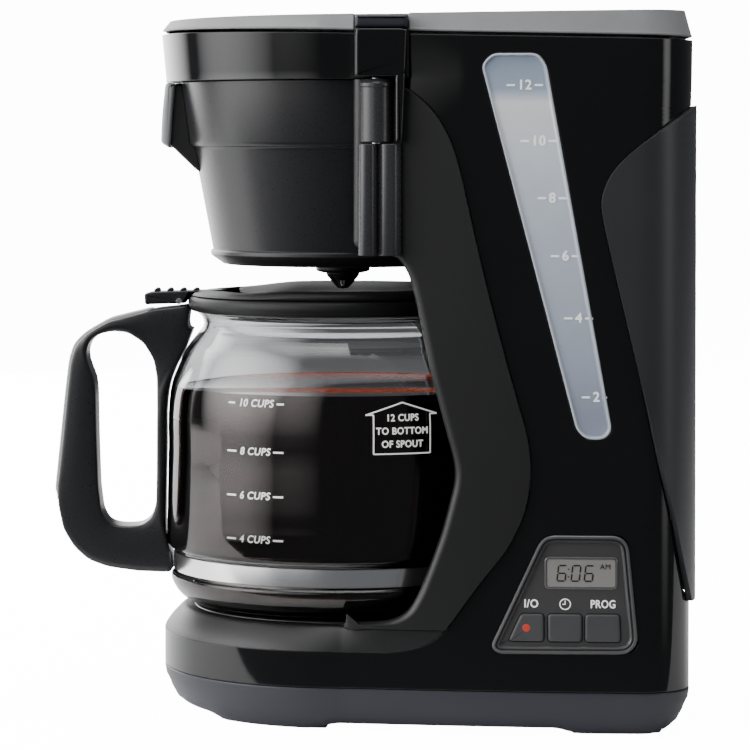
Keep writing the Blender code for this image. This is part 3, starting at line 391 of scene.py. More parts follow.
# Y of the near wall over (x, z), with out millimetres added outwards.
def nearY(x, z, out=0):
    return -(halfWidth(x) - wallDepth(x, z) + out)


# Side outlines of the shell, the frame and the cover, as (x, z).
outlines = {
    "frame": [(8.7, 32.6), (21.1, 34.3), (30.6, 40), (38.2, 50.5), (46.8, 62.5), (57.3, 75.5),
              (64.3, 90.8), (66.3, 106), (64.9, 119.5), (57.7, 144.3), (49.7, 174.5), (44, 198.4),
              (37.9, 226), (34.5, 237.5), (27.8, 249.5), (17.3, 258.8), (8, 262.3)],
    "rear": [(129, 53), (124.5, 74), (122, 87.6), (116, 111), (108.9, 144.6), (99, 186), (93.8, 209),
             (93.8, 215.7), (97, 224), (103.7, 231.8), (117, 242), (131, 252)],
    "bay": [(-12, 42.2), (2, 42.6), (11.5, 43.8), (18.3, 47.6), (23, 55.3), (27.8, 67.7), (32.6, 81.1),
            (37.9, 102.2), (37.4, 109.8), (28.3, 144), (23.7, 166.4), (20.1, 182.4), (17.8, 187.6),
            (15, 191.6), (11.2, 193.8), (7.5, 195.3), (2, 196), (-2.8, 196.5), (-2.8, 262.9)],
    "window": [(88, 118.9), (95, 118.9), (98.2, 122.5), (72.1, 268), (68.5, 272.6), (50.5, 272.6),
               (46.1, 268), (84, 122.5)],
    "panel": [(53.4, 33.3), (105.6, 33.9), (108.4, 37), (104.5, 77.8), (101.8, 80.6), (72.5, 80.6),
              (69.5, 78), (50.4, 36.5)],
}
frameCurve = roundLine(outlines["frame"], 6, 6)
rearCurve = roundLine(outlines["rear"], 8, 6)
bayCurve = roundLine(outlines["bay"], [0, 5, 4, 3.5, 5, 6, 6, 6, 6, 6, 6, 3, 2.5, 2.5, 2, 2, 2, 1.5, 0], 5)


# Heights of the curves' own points and even steps between, without near repeats.
def heightRows(*curves, low, high, step):
    rows = np.concatenate([curve[:, 1] for curve in curves] + [np.arange(low, high, step), [low, high]])
    rows = np.unique(np.clip(rows, low, high))
    return rows[np.concatenate([[True], np.diff(rows) > 0.12])]


# Wall points over (u, z) on the near side and again, mirrored, on the far side, with both sides' faces.
def bothSides(u, z, faces):
    points = np.concatenate([wallPoint(u, z, side).reshape(-1, 3) for side in (-1, 1)])
    return points, np.concatenate([faces, faces[:, ::-1] + u.size])


# Glossy shell: rows in z and columns along the wall; the columns at the frame line and at the rear cover's
# line follow those curves, and the faces inside the frame's and the cover's own zones are left out.
def glossShell():
    gap = wall["gap"]
    frameLow, headLow = wall["frameLow"], wall["headLow"]
    coverLow, coverHigh = wall["coverLow"], wall["coverHigh"]
    headRise = 19.4  # from the frame's top to the nominal upper edge
    rows = np.concatenate([[18.1, 18.7],
                           heightRows(frameCurve, rearCurve, low=frameLow, high=headLow, step=4),
                           np.arange(238, 257, 0.7), np.linspace(headLow, headLow + headRise, 12)[1:]])
    rows = np.unique(np.concatenate([rows, [24, 28, coverLow, coverHigh]]))
    left = alongOf(np.interp(rows, frameCurve[:, 1], frameCurve[:, 0]) + gap * 1.3)
    right = alongOf(np.interp(rows, rearCurve[:, 1], rearCurve[:, 0]) - gap * 1.2)
    first, middle, last = 26, 60, 14
    a, b, c = (np.linspace(0, 1, n + 1) for n in (first, middle, last))
    u = np.hstack([left[:, None] * a[None, :-1], left[:, None] + (right - left)[:, None] * b[None, :-1],
                   right[:, None] + (rearEnd - right)[:, None] * c[None, :]])
    x, _ = planPoint(u, 0)
    level = rows[:, None]
    z = np.where(level > headLow, headLow + (level - headLow) / headRise * (bodyTop(x) - headLow), level)
    mid = (rows[1:] + rows[:-1]) / 2
    column = np.arange(u.shape[1] - 1)
    keep = ~(((mid > frameLow) & (mid < headLow))[:, None] & (column < first)[None, :])
    keep &= ~(((mid > coverLow) & (mid < coverHigh))[:, None] & (column >= first + middle)[None, :])
    return bothSides(u, z, gridFaces(*u.shape, keep))


windowOutline = roundLine(outlines["window"], 2.6, 5, True)
panelOutline = roundLine(outlines["panel"], 2, 5, True)


# Plain closed block used only for cutting.
def tool(name, outline, low, high, axis="Y"):
    return block(name, outline, low, high, 0.01, "matte", None, axis=axis)


shellPoints, shellFaces = glossShell()
shell = addPiece("glossShell", shellPoints, shellFaces, "gloss", "machine", ["main_housing"])
bake(thicken(shell, wall["thick"]))
bossBox = roundLine([(-4.3, -95), (17.3, -95), (17.3, -69), (-4.3, -69)], 0.3, 2, True)
cutAway(shell, tool("windowTool", inset(windowOutline, -0.3), -120, -40),
        tool("panelTool", inset(panelOutline, -0.3), -120, -40),
        tool("bossTool", bossBox, 255, 300, "Z"))
note("glossy shell")


# Cover over the back: the wall between the cover's line and the rear centre.
def rearCover():
    rows = heightRows(rearCurve, low=wall["coverLow"] + 0.3, high=wall["coverHigh"] - 0.3, step=4)
    right = alongOf(np.interp(rows, rearCurve[:, 1], rearCurve[:, 0]))
    share = np.linspace(0, 1, 34)
    u = right[:, None] + (rearEnd - right)[:, None] * share[None, :]
    z = np.broadcast_to(rows[:, None], u.shape)
    return bothSides(u, z, gridFaces(*u.shape))


coverPoints, coverFaces = rearCover()
cover = addPiece("rearCover", coverPoints, coverFaces, "rear", "machine", ["rear_cover"])
bake(thicken(cover, wall["thick"]))


# Circle behind the bay through both lips and the back: its centre, radius, half angle, and the lip's Y.
def bayArc(edge, back=68, lip=4.2):
    side = halfWidth(edge) - lip
    centre = (back**2 - edge**2 - side**2) / (2 * (back - edge))
    radius = back - centre
    reach = np.arcsin(np.clip(side / radius, 0, 1))
    return centre, radius, np.where(edge < centre, np.pi - reach, reach), side


# Matte frame: for each height the near band, its rounded lip, the arc behind the bay and the far band.
def frameSheet():
    rows = heightRows(frameCurve, bayCurve, low=42.3, high=262.3, step=4)
    right = np.interp(rows, frameCurve[:, 1], frameCurve[:, 0])
    edge = np.interp(rows, bayCurve[:, 1], bayCurve[:, 0])
    lipR, innerR = 1.6, 0.7
    share = np.linspace(0, 1, 16)[None, :]
    bandX = right[:, None] + (edge + lipR - right)[:, None] * share
    bandY = halfWidth(bandX) - wallDepth(bandX, rows[:, None])
    turn = np.linspace(0, np.pi / 2, 7)[None, 1:]
    outer = bandY[:, -1:]
    lipX = (edge + lipR)[:, None] - lipR * np.sin(turn)
    lipY = outer - lipR * (1 - np.cos(turn))
    centre, radius, reach, side = bayArc(edge)
    inX = edge[:, None] + innerR * (1 - np.cos(turn))
    inY = side[:, None] + innerR - innerR * np.sin(turn)
    half = np.linspace(0, 1, 40)[None, 1:]
    angle = reach[:, None] * (1 - half)
    arcX = centre[:, None] + radius[:, None] * np.cos(angle)
    arcY = radius[:, None] * np.sin(angle)
    x = np.hstack([bandX, lipX, inX, arcX])
    y = np.hstack([bandY, lipY, inY, arcY])
    z = np.broadcast_to(rows[:, None], x.shape)
    near = np.stack([x, -y, z], -1)
    far = np.stack([x, y, z], -1)[:, ::-1][:, 1:]
    return np.concatenate([near, far], 1)


sheet = frameSheet()
frameBody = gridPiece("frameBody", sheet, "matte", "machine", ["front_frame"],
                     50)
bake(thicken(frameBody, -1.8), 50)
note("frame and rear cover")

pan = {"steps": [(2.2, 30), (2.2, 9.2), (2.8, 8), (4.8, 5.4), (8.8, 3.2), (10.6, 2.6), (13.8, 1),
                 (17.2, 0.5), (17.7, 0.7), (17.8, 1.2), (17.8, 3.2), (15, 3.6), (6.6, 11), (6.6, 30)],
       "drop": 2.15,
       "crease": 9,
       "dips": [(-66, -56, -24, -10), (75, 87, 113, 127)]}


# Skirt and pan: the plan outline at each (height, inset) step; below the crease the height also drops by
# drop w(x), where w rises and falls smoothly over each foot; the last steps shrink to the centre line.
def skirtRings():
    u = planSteps(60, 60, 20, 10)
    rings = []
    for height, depth in pan["steps"]:
        x, y = planPoint(u, min(depth, 20))
        dip = np.zeros_like(x)
        for a, b, c, d in pan["dips"]:
            share = np.clip(np.minimum((x - a) / (b - a), (d - x) / (d - c)), 0, 1)
            dip = np.maximum(dip, share * share * (3 - 2 * share))
        drop = pan["drop"] * dip * np.clip((pan["crease"] - height) / 6, 0, 1) * (depth < 12)
        ring = wholeRing(np.stack([x, -y, height - drop], 1))
        if depth >= 30:
            ring[:, :2] = (ring[:, :2] - [20, 0]) * 0.9 + [20, 0]
        rings.append(ring)
    return rings


stacked("basePan", skirtRings(), "skirt", "machine", ["base_cover"], 24)


# Shoulder: from the shell's upper edge (or the frame line) up to the deck, drawn in round the front and
# fading to flush with the wall beside the bay; then a rounded lip and the edge of the deck.
def shoulderGrid():
    endX = float(np.interp(42.3, frameCurve[:, 1], frameCurve[:, 0]))
    u = np.concatenate([np.linspace(0, arcEnd, 60)[:-1], alongOf(np.linspace(-9.65, endX - 0.2, 60))])
    x, _ = planPoint(u, 0)
    low = np.interp(x, frameCurve[:, 0][:14], frameCurve[:, 1][:14], left=32.6)
    low = np.where(x > 8.7, np.minimum(low, 42), 32.6)
    fade = np.clip((x + 34) / 40, 0, 1)
    drawn = 7.6 * (1 - fade * fade * (3 - 2 * fade))
    t = np.array([0, 0.12, 0.3, 0.5, 0.7, 0.85, 0.94, 0.985, 1, 1])[:, None]
    bulge = np.array([0, 0.06, 0.2, 0.4, 0.64, 0.83, 0.94, 1.02, 1.1, 1.35])[:, None]
    z = low[None, :] + t * (42.35 - low)[None, :]
    depth = 0.5 + bulge * drawn[None, :] + np.array([0] * 6 + [0.05, 0.3, 0.9, 3])[:, None]
    px, py = planPoint(np.broadcast_to(u, z.shape), depth)
    near = np.stack([px, -py, z], -1)
    far = near[:, ::-1] * [1, -1, 1]
    return np.concatenate([far[:, :-1], near], 1)


shoulder = shoulderGrid()
deckShoulder = gridPiece("deckShoulder", shoulder, "matte", "machine",
                        ["front_frame"], 60)
bake(thicken(deckShoulder, 1.6), 60)


# Flat sheet from a round hole out to the edge of the bay: a straight blend from the hole's circle to the
# boundary, found by its angle about the axis.
def baySheet(name, edge, front, z, hole, wallThick):
    centre, radius, reach, _ = bayArc(edge, 68.9, 3.6)
    a = np.linspace(float(reach), 0, 60)
    arc = np.stack([centre + radius * np.cos(a), radius * np.sin(a)], 1)
    b = np.linspace(np.pi, np.pi / 2, 40)
    nose = np.stack([axisX + front * np.cos(b), front * np.sin(b)], 1)
    edgeLine = np.vstack([nose, arc])
    angle = np.arctan2(edgeLine[:, 1], edgeLine[:, 0] - axisX)
    size = np.hypot(edgeLine[:, 0] - axisX, edgeLine[:, 1])
    order = np.argsort(angle)
    turn = np.linspace(-np.pi, np.pi, 193)
    far = np.interp(np.abs(turn), angle[order], size[order])
    share = np.linspace(0, 1, 8)[:, None]
    r = hole + (far - hole)[None, :] * share
    grid = np.stack([axisX + r * np.cos(turn), r * np.sin(turn), np.full_like(r, z)], -1)
    obj = gridPiece(name, grid, "matte", "machine", ["front_frame"])
    return bake(thicken(obj, wallThick))


baySheet("deckFloor", 4, 66.4, 42.2, 64.7, 1.8)
baySheet("bayCeiling", -2.8, 73.4, 263, 29.7, -2.2)

plateLine = [(0, 41.4), (0, 42.9), (58, 42.9), (61.8, 42.9), (62.7, 42.7), (63, 42.2), (63, 39),
             (61.4, 39), (61.4, 41.4)]
turned("hotPlate", plateLine, "plate", "machine", ["warming_plate"])
note("base and deck")

lidSettings = {"steps": [(0, 2.6, 0), (0, 0.35, 0), (0.12, 0, 0), (0.9, 0, 0), (1.05, 0.25, 0),
                         (0, 2.9, 1), (-0.25, 3.6, 1), (-0.05, 4.4, 1), (0, 5.4, 1), (0, 9, 1),
                         (0, 20, 1)],
               "gap": 1.3}


# Lid: plan outlines at heights over its lower edge (0) or under its upper face (1), closed over the middle.
def lidRings():
    u = planSteps(44, 30, 14, 10)
    rings = []

    def ring(height, depth, level, shrink=1):
        x, y = planPoint(u, depth)
        x = 22 + (x - 22) * shrink
        y = y * shrink
        low = bodyTop(x) + lidSettings["gap"]
        high = 288 + 2 * (x + 85.65) / 217.1
        z = (high if level else low) + height
        return wholeRing(np.stack([x, -y, z], 1))

    rings.append(ring(4.4, 2.6, 0, 0.3))
    rings.append(ring(4.4, 2.6, 0, 0.9))
    rings.append(ring(2.2, 2.6, 0))
    for height, depth, level in lidSettings["steps"]:
        rings.append(ring(height, depth, level))
    for shrink in (0.75, 0.45, 0.15):
        rings.append(ring(0, 20, 1, shrink))
    return rings


topLid = stacked("topLid", lidRings(), "lid", "lid", ["top_lid"], 30)
notch = roundLine([(-4.6, -95), (17.6, -95), (17.6, -69), (-4.6, -69)], 0.3, 2, True)
finger = roundLine([(-95, -9), (-83.2, -9), (-83.2, 9), (-95, 9)], 2, 4, True)
cutAway(topLid, tool("notchTool", notch, 270, 300, "Z"), tool("fingerTool", finger, 270, 285.8, "Z"))

# Boss, strip, backing (a dark plate that paints shade into the gap round the boss) and cap as (x, z); the
# pin as (radius, z).
hinge = {
    "boss": roundLine([(-4, 263.2), (15.9, 263.2), (16.7, 282.5), (-4, 282.5)], [0.9, 0.3, 0.3, 0.3], 5,
                      True),
    "strip": roundLine([(12, 236.9), (14.8, 236.9), (15.95, 264.6), (12, 264.6)], [0.4, 0.9, 0.3, 0.3], 5,
                       True),
    "backing": roundLine([(-4.25, 262.8), (17.3, 262.8), (17.3, 287.4), (-4.25, 287.4)], 0.3, 2, True),
    "cap": roundLine([(-3.9, 282.8), (16.75, 282.8), (17, 287.9), (-3.9, 287.9)], [0.2, 0.2, 1.2, 1.2], 5,
                     True),
    "pin": [(0, 223), (2, 223), (2, 273.5), (0, 273.5)],
}
block("hingeBoss", resample(hinge["boss"], 3), -87.4, -71, 1.1, "gloss", "machine", ["hinge_boss"],
      "Y")
block("bossStrip", resample(hinge["strip"], 3), -87.35, -74, 1, "gloss", "machine", ["hinge_boss"],
      "Y")
# Dark plate behind the boss: painted shade filling the gap round it.
block("bossShadeBacking", resample(hinge["backing"], 3), -83.5, -70, 0.4, "dark", "machine", ["hinge_boss"],
      "Y")
block("bossCap", resample(hinge["cap"], 3), -87.2, -69.6, 1.4, "skirt", "machine", ["hinge_boss"],
      "Y")


# Column: two convex lobes side by side; each is a superellipse bulge on the front of a straight wall.
def columnOutline():
    x1 = np.linspace(-2.8, 5, 16)
    x2 = np.linspace(5.2, 14.3, 18)
    first = -87 + 3.4 * np.abs((x1 - 1.1) / 3.95) ** 3.2
    second = -86.8 + 3.4 * np.abs((x2 - 9.75) / 4.6) ** 3.2
    front = np.vstack([np.stack([x1, first], 1), np.stack([x2, second], 1)])
    return np.vstack([front, [[14.3, -74], [-2.8, -74]]])


block("hingeColumn", columnOutline(), 192, 236.5, 0.35, "column", "machine", ["hinge_column"])
turned("swingPin", hinge["pin"], "steel", "machine", ["basket_pin"], (4.5, -80), 24)
note("lid and hinge")

# Turned pieces as (radius, z); the arm in plan; web, grip and slot from the side.
basket = {
    "band": [(9.4, 186), (49, 186), (50.6, 186.3), (55.3, 189.6), (55.9, 190.4), (55.9, 191.7),
             (55.5, 192.2), (54.9, 192.4), (62.7, 233.8), (62.9, 234.8), (63.3, 235.3), (64.4, 235.6),
             (65, 236.4), (65.2, 237.4), (68.5, 261.4), (68.5, 262.2), (68.1, 262.5), (66.9, 262.5),
             (66.4, 262), (63.2, 238.6), (62.4, 237), (60.7, 235.4), (52.4, 192.4), (51, 190.8),
             (9.4, 190.8)],
    "barrel": [(2.3, 237), (6.3, 237), (6.7, 237.4), (6.7, 259), (7.1, 259.4), (7.1, 260.6), (5.6, 262.4),
               (2.3, 262.5)],
    "arm": roundLine([(-0.6, -77), (8.6, -77), (8.6, -64), (-0.6, -64)], 0.8, 4, True),
    "web": roundLine([(-60, 262), (-80.4, 262), (-82, 250), (-82.6, 236.8), (-70, 224.6), (-60, 224)],
                     [0.3, 1.5, 4, 2.5, 2.5, 0.3], 5, True),
    "cone": [(0, 180), (54.5, 180), (54.9, 192), (62.9, 234.7), (65.1, 236.2), (68.7, 262.6), (70, 270),
             (0, 270)],
    "grip": roundLine([(-79.6, 262.3), (-83.9, 262.3), (-85.3, 250), (-85.9, 237.2), (-81.8, 234.6),
                       (-80.8, 250)], [0.4, 1.6, 5, 1.6, 0.8, 4], 6, True),
    "strainer": [(6.8, 191), (50.2, 191), (51.6, 192.2), (59.8, 234), (59.8, 235), (58.6, 235),
                 (58.2, 234.2), (50.2, 193.4), (49.4, 192.6), (6.8, 192.6)],
    "flange": [(5.6, 182.2), (8.6, 182.2), (11, 182.9), (11.4, 183.5), (11.4, 185.6), (9.1, 185.8),
               (9.1, 190.3), (7.8, 190.3), (7.8, 184.5), (5.6, 184.5)],
    "slot": roundLine([(-10.35, 176.6), (-8.95, 176.6), (-8.2, 180.6), (-11.1, 180.6)], 0.3, 4, True),
    "stem": [(0, 178), (2.4, 178), (3.4, 179.4), (3.4, 184.8), (7.1, 184.8), (7.1, 186.1), (3.1, 186.1),
             (3.1, 187.4), (0, 187.4)],
}
turned("brewBasket", basket["band"], "satin", "basket", ["basket_holder"], around=160,
       sharp=28)
turned("basketBarrel", basket["barrel"], "column", "basket", ["basket_holder"], (4.5, -80), 64)
block("basketArm", resample(basket["arm"], 3), 237.2, 262.3, 0.5, "satin", "basket", ["basket_holder"])
grip = block("gripWeb", resample(basket["web"], 3), -12.5, 12.5, 1.2, "matte", "basket", ["basket_grip"],
             "Y")
cutAway(grip, turned("coneTool", basket["cone"], "matte", None, around=96))
block("gripFace", resample(basket["grip"], 3), -14.8, 14.8, 1.6, "inlay", "basket", ["basket_grip"],
      "Y")
looks["bowl"] = surface("filterDark", (0.02, 0.02, 0.021), 0.45, 0.15, 0.7, 0.01, 20, 0.3)
turned("filterBowl", basket["strainer"], "bowl", "basket", ["filter_basket"], around=128)
turned("nozzleFlange", basket["flange"], "matte", "basket", ["valve_seat"], around=64)


petals = {"z": [184, 182.4, 182, 181.2, 180.2, 178.8, 177.4, 176.4, 175.7, 175.3],
          "radius": [6, 6.6, 7, 6.9, 6.2, 5, 3.9, 3, 2.2, 0],
          "dip": [0, 0, 0, 0.05, 0.22, 0.32, 0.36, 0.3, 0.1, 0]}


# Nozzle: a cone whose radius swells into four petals, r(z) (1 - k + k |cos 2a|^0.6).
def nozzleGrid():
    z, r, dip = (np.array(petals[key], float) for key in ("z", "radius", "dip"))
    a = np.linspace(0, 2 * np.pi, 97)
    petal = np.abs(np.cos(2 * a)) ** 0.6
    radius = r[:, None] * (1 - dip[:, None] * (1 - petal[None, :]))
    tall = np.broadcast_to(z[:, None], radius.shape)
    return np.stack([axisX + radius * np.cos(a), radius * np.sin(a), tall], -1)


nozzle = nozzleGrid()
gridPiece("nozzlePetals", nozzle, "matte", "basket", ["valve_seat"], 40)
block("valveTongue", basket["slot"], -5.1, 5.1, 0.4, "inlay", "drip_stop", ["drip_valve"],
      "Y")
turned("valveStem", basket["stem"], "inlay", "drip_stop", ["drip_valve"], around=40)
note("basket")

# Turned pieces as (radius, z); the lever and the handle as (x, z).
carafe = {
    "glass": [(0, 43.4), (56, 43.4), (59.6, 43.5), (63.6, 44.2), (68.2, 46.8), (71.4, 50.8), (72.7, 54.4),
              (72.6, 55.6), (71.6, 56.8), (71.3, 57.6), (71.3, 65), (71.8, 66), (73.6, 67.6), (74.1, 70),
              (74.4, 82.7), (74.2, 95), (73.9, 107.7), (73.5, 128.7), (72.3, 136.2), (69.7, 142.9),
              (65.9, 151), (61, 157.2), (59.2, 159.6), (58.8, 161.2), (59.4, 163.4), (61, 165.2),
              (62.3, 166.2)],
    "rim": [(61.9, 166.9), (61, 167.1)],
    "brew": {"level": 134.8},
    "sleeve": [(71.35, 57.5), (71.7, 57.7), (71.8, 61.2), (71.7, 64.9), (71.35, 65.1), (71.25, 61.2)],
    "collar": [(60.6, 166.9), (62.8, 166.2), (64.3, 166.7), (65.3, 168.2), (65.5, 170), (65, 171.6),
               (64, 172.4), (61.2, 172.4)],
    "lever": roundLine([(-60, 172.9), (-74.9, 172.9), (-76, 169.4), (-93.3, 168.8), (-93.5, 173.4),
                        (-90, 174.3), (-72, 174.8), (-52, 175.2)], [0.3, 0.6, 0.8, 0.8, 0.8, 0.6, 3, 0.3],
                       5, True),
    "handleOuter": [(-73.8, 169.2), (-79, 168.5), (-88.8, 167.5), (-107.9, 162.4), (-118.1, 156.5),
                    (-122.5, 152.2), (-124.6, 145.4), (-126.3, 131.2), (-129.2, 103.5), (-130.4, 92),
                    (-130.2, 84), (-127.9, 73.6), (-123.2, 66), (-117.1, 60.6), (-108.8, 57.6),
                    (-96, 55.8), (-82.8, 55.4)],
    "handleInner": [(-117.6, 147.8), (-116.6, 152.6), (-113.3, 156), (-107.1, 157.5), (-100.3, 156.7),
                    (-93.8, 152.4), (-89.6, 145.4), (-88.3, 138), (-88.5, 100), (-88.7, 85),
                    (-90.4, 79.6), (-94.6, 76.3), (-99.5, 75.8), (-104.5, 76), (-108.8, 77.5),
                    (-111.4, 82.4), (-112.5, 92), (-113.1, 116.2), (-113.6, 132.9), (-114.6, 139.5),
                    (-116.8, 143.4)],
}
outerLine = smoothLine(carafe["glass"], 4)
tangent = np.gradient(outerLine, axis=0)
tangent /= np.linalg.norm(tangent, axis=1)[:, None]
innerLine = outerLine + np.stack([-tangent[:, 1], tangent[:, 0]], 1) * 2.2
innerLine[:, 0] = np.maximum(innerLine[:, 0], 0)
innerLine[0, 0] = 0
glassLine = np.vstack([outerLine, carafe["rim"], innerLine[::-1]])


# Clear material: full transmission, a trace of roughness from noise, and absorption inside.
def clearLook(name, colour, index, density=0, tint=(1, 1, 1), rough=0):
    made = surface(name, colour, 0.02, 0.02, 9, 0, 60, 0, Transmission_Weight=1, IOR=index)
    tree = made.node_tree
    shader = tree.nodes["Principled BSDF"]
    for link in list(shader.inputs["Normal"].links):
        tree.links.remove(link)
    for item in [n for n in tree.nodes if n.type == "BUMP"]:
        tree.nodes.remove(item)
    ranges = [n for n in tree.nodes if n.type == "MAP_RANGE"][0]
    ranges.inputs["To Min"].default_value = rough
    ranges.inputs["To Max"].default_value = rough + 0.015
    if density:
        soak = node(tree, "VolumeAbsorption", Color=(*tint, 1), Density=density)
        tree.links.new(soak.outputs["Volume"], tree.nodes["Material Output"].inputs["Volume"])
    return made


looks["glass"] = clearLook("carafeGlass", (0.74, 0.745, 0.755), 1.5)
looks["coffee"] = clearLook("coffeeBrown", (0.3, 0.06, 0.025), 1.33, 90, (0.42, 0.04, 0.02))
turned("carafeGlass", glassLine, "glass", "carafe", ["carafe_glass"], around=160, sharp=80)
inside = innerLine[innerLine[:, 1] < carafe["brew"]["level"]]
edge = np.interp(carafe["brew"]["level"], innerLine[30:, 1], innerLine[30:, 0])
brewLine = np.vstack([inside + [0.04, 0], [[edge, carafe["brew"]["level"]],
                                           [edge - 1.4, carafe["brew"]["level"] - 0.7],
                                           [0, carafe["brew"]["level"] - 0.9]]])
brewLine[0] = (0, brewLine[0, 1])
turned("coffee", brewLine, "coffee", "carafe", around=160, sharp=60)
looks["mirror"] = surface("polishedBand", (0.94, 0.94, 0.95), 0.2, 0.03, 3, 0.0008, 30, 0, Metallic=1)
turned("carafeBand", carafe["sleeve"], "mirror", "carafe", around=200)
turned("carafeCollar", smoothLine(carafe["collar"], 4, True), "dark", "carafe", ["carafe_collar"],
       around=160)


# Carafe lid: a turned funnel whose rim is lower on the handle side, z + drop (1 - s(x)) near the rim.
def carafeLidGrid():
    line = roundLine([(0, 169.8), (59, 169.8), (59.4, 172.6), (63.6, 172.7), (64.3, 174), (63.2, 175.7),
                      (58, 176.6), (50, 176.3), (40, 175), (31, 172.4), (12, 171.9), (0, 171.8)],
                     [0, 0.5, 0.5, 0.4, 0.8, 1.2, 2.5, 3.5, 4, 4, 3, 0], 5)
    a = np.linspace(0, 2 * np.pi, 161)
    r, z = line[:, :1], line[:, 1:]
    x = axisX + r * np.cos(a)
    share = np.clip((x + 54) / 26, 0, 1)
    drop = 1.7 * (1 - share * share * (3 - 2 * share))
    lifted = np.clip((z - 172.8) / 2, 0, 1)
    return np.stack([x, r * np.sin(a), z - drop * lifted], -1)


funnel = carafeLidGrid()
gridPiece("carafeLid", funnel, "dark", "carafe_top", ["carafe_lid"])
block("lidLever", resample(carafe["lever"], 2.5), -6.2, 6.2, 0.9, "satin", "carafe_top", ["carafe_lid"],
      "Y")
for rib in range(4):
    ribX = -88.2 + 5.5 * rib
    ribTurn = np.linspace(0, 2 * np.pi, 17)[:-1]
    ribLine = np.stack([ribX + 1.25 * np.cos(ribTurn), 174.7 + 1.15 * np.sin(ribTurn)], 1)
    block(f"leverRib{rib}", ribLine, -5.2, 5.2, 0.5, "satin", "carafe_top", ["carafe_lid"], "Y")


# Handle: at each angle about the middle of its hole, a rounded section from the hole's edge to the outline.
handle = {"middle": (-101, 112), "half": 10.5, "corner": 3, "inlayHalf": 6.6}


def handleGrid():
    glassSide = [(axisX - np.interp(z, outerLine[40:, 1], outerLine[40:, 0]) - 0.5, z)
                 for z in np.linspace(57, 158, 30)]
    neck = [(-75, 160), (-74.2, 164)]
    outline = np.vstack([roundLine(carafe["handleOuter"], 2.5, 5), glassSide, neck])
    middle = np.array(handle["middle"])
    turns = np.linspace(-np.pi, np.pi, 221)

    def reach(line):
        dense = resample(line, 0.6)
        angle = np.arctan2(dense[:, 1] - middle[1], dense[:, 0] - middle[0])
        size = np.hypot(dense[:, 1] - middle[1], dense[:, 0] - middle[0])
        order = np.argsort(angle)
        angle, size = angle[order], size[order]
        angle = np.concatenate([angle - 2 * np.pi, angle, angle + 2 * np.pi])
        return np.interp(turns, angle, np.tile(size, 3))

    inner = reach(roundLine(carafe["handleInner"], 2, 5, True))
    outer = np.maximum(reach(outline), inner + 2.5)
    around = np.linspace(0, 2 * np.pi, 49)
    half = (outer - inner)[None, :] / 2
    corner = np.minimum(handle["corner"], half * 0.9)
    cos, sin = np.cos(around)[:, None], np.sin(around)[:, None]
    flat = np.clip(np.abs(cos) * 1.6, 0, 1) * np.sign(cos)
    side = np.clip(np.abs(sin) * 1.6, 0, 1) * np.sign(sin)
    r = (outer + inner)[None, :] / 2 + (half - corner) * flat + corner * cos
    y = (handle["half"] - corner) * side + corner * sin
    return np.stack([middle[0] + r * np.cos(turns), y, middle[1] + r * np.sin(turns)], -1)


grip = handleGrid()
gridPiece("carafeHandle", grip, "satin", "carafe", ["carafe_handle"], 50)
backLine = roundLine(carafe["handleOuter"], 2.5, 5)
backLine = backLine[(backLine[:, 0] < -90) & (backLine[:, 1] > 86)]


# Inlay: a low pillow section carried along the handle's back; its height falls off near the edges.
def inlayGrid():
    line = smoothLine(backLine, 2)
    along = np.gradient(line, axis=0)
    along /= np.linalg.norm(along, axis=1)[:, None]
    normal = np.stack([along[:, 1], -along[:, 0]], 1)
    normal *= np.sign(np.sum(normal * (line - handle["middle"]), 1))[:, None]
    across = np.array([-1, -1, -0.97, -0.88, -0.5, 0, 0.5, 0.88, 0.97, 1, 1, 0.5, 0, -0.5, -1])
    height = np.array([-1.2, 0.1, 0.55, 0.85, 0.95, 1, 0.95, 0.85, 0.55, 0.1, -1.2, -1.2, -1.2, -1.2,
                       -1.2])
    count = len(line)
    taper = np.clip(np.minimum(np.arange(count), count - 1 - np.arange(count)) / 4, 0.2, 1)
    lift = height[None, :] * taper[:, None]
    x = line[:, :1] + normal[:, :1] * lift
    z = line[:, 1:] + normal[:, 1:] * lift
    y = np.broadcast_to(handle["inlayHalf"] * across[None, :], x.shape)
    return np.stack([x, y, z], -1)


strip = inlayGrid()
stacked("handleInlay", strip[:, :-1], "inlay", "carafe", ["handle_inlay"], 40)
note("carafe")


# Copies of a side outline, each moved inwards by its step and given its distance out from the wall.
def wallRings(outline, steps):
    return [np.hstack([ring := inset(outline, step), np.full((len(ring), 1), out)]) for step, out in steps]


# Points (x, z, out) placed on the near wall.
def onNear(rings):
    x, z, out = np.moveaxis(np.asarray(rings), -1, 0)
    return np.stack([x, nearY(x, z, out), z], -1)


# Patch of the near wall: rings of a side outline, each (inset, out) from the wall, filled by shrinking.
def wallPatch(name, outline, steps, look, body="machine", stands=(), fill=9, shade=32):
    outline = np.asarray(outline, float)
    middle = outline.mean(0)
    rings = wallRings(outline, steps)
    last = rings[-1]
    for share in np.linspace(1, 0.02, fill)[1:]:
        inner = last.copy()
        inner[:, :2] = middle + (last[:, :2] - middle) * share
        rings.append(inner)
    return stacked(name, onNear(rings), look, body, stands, shade)
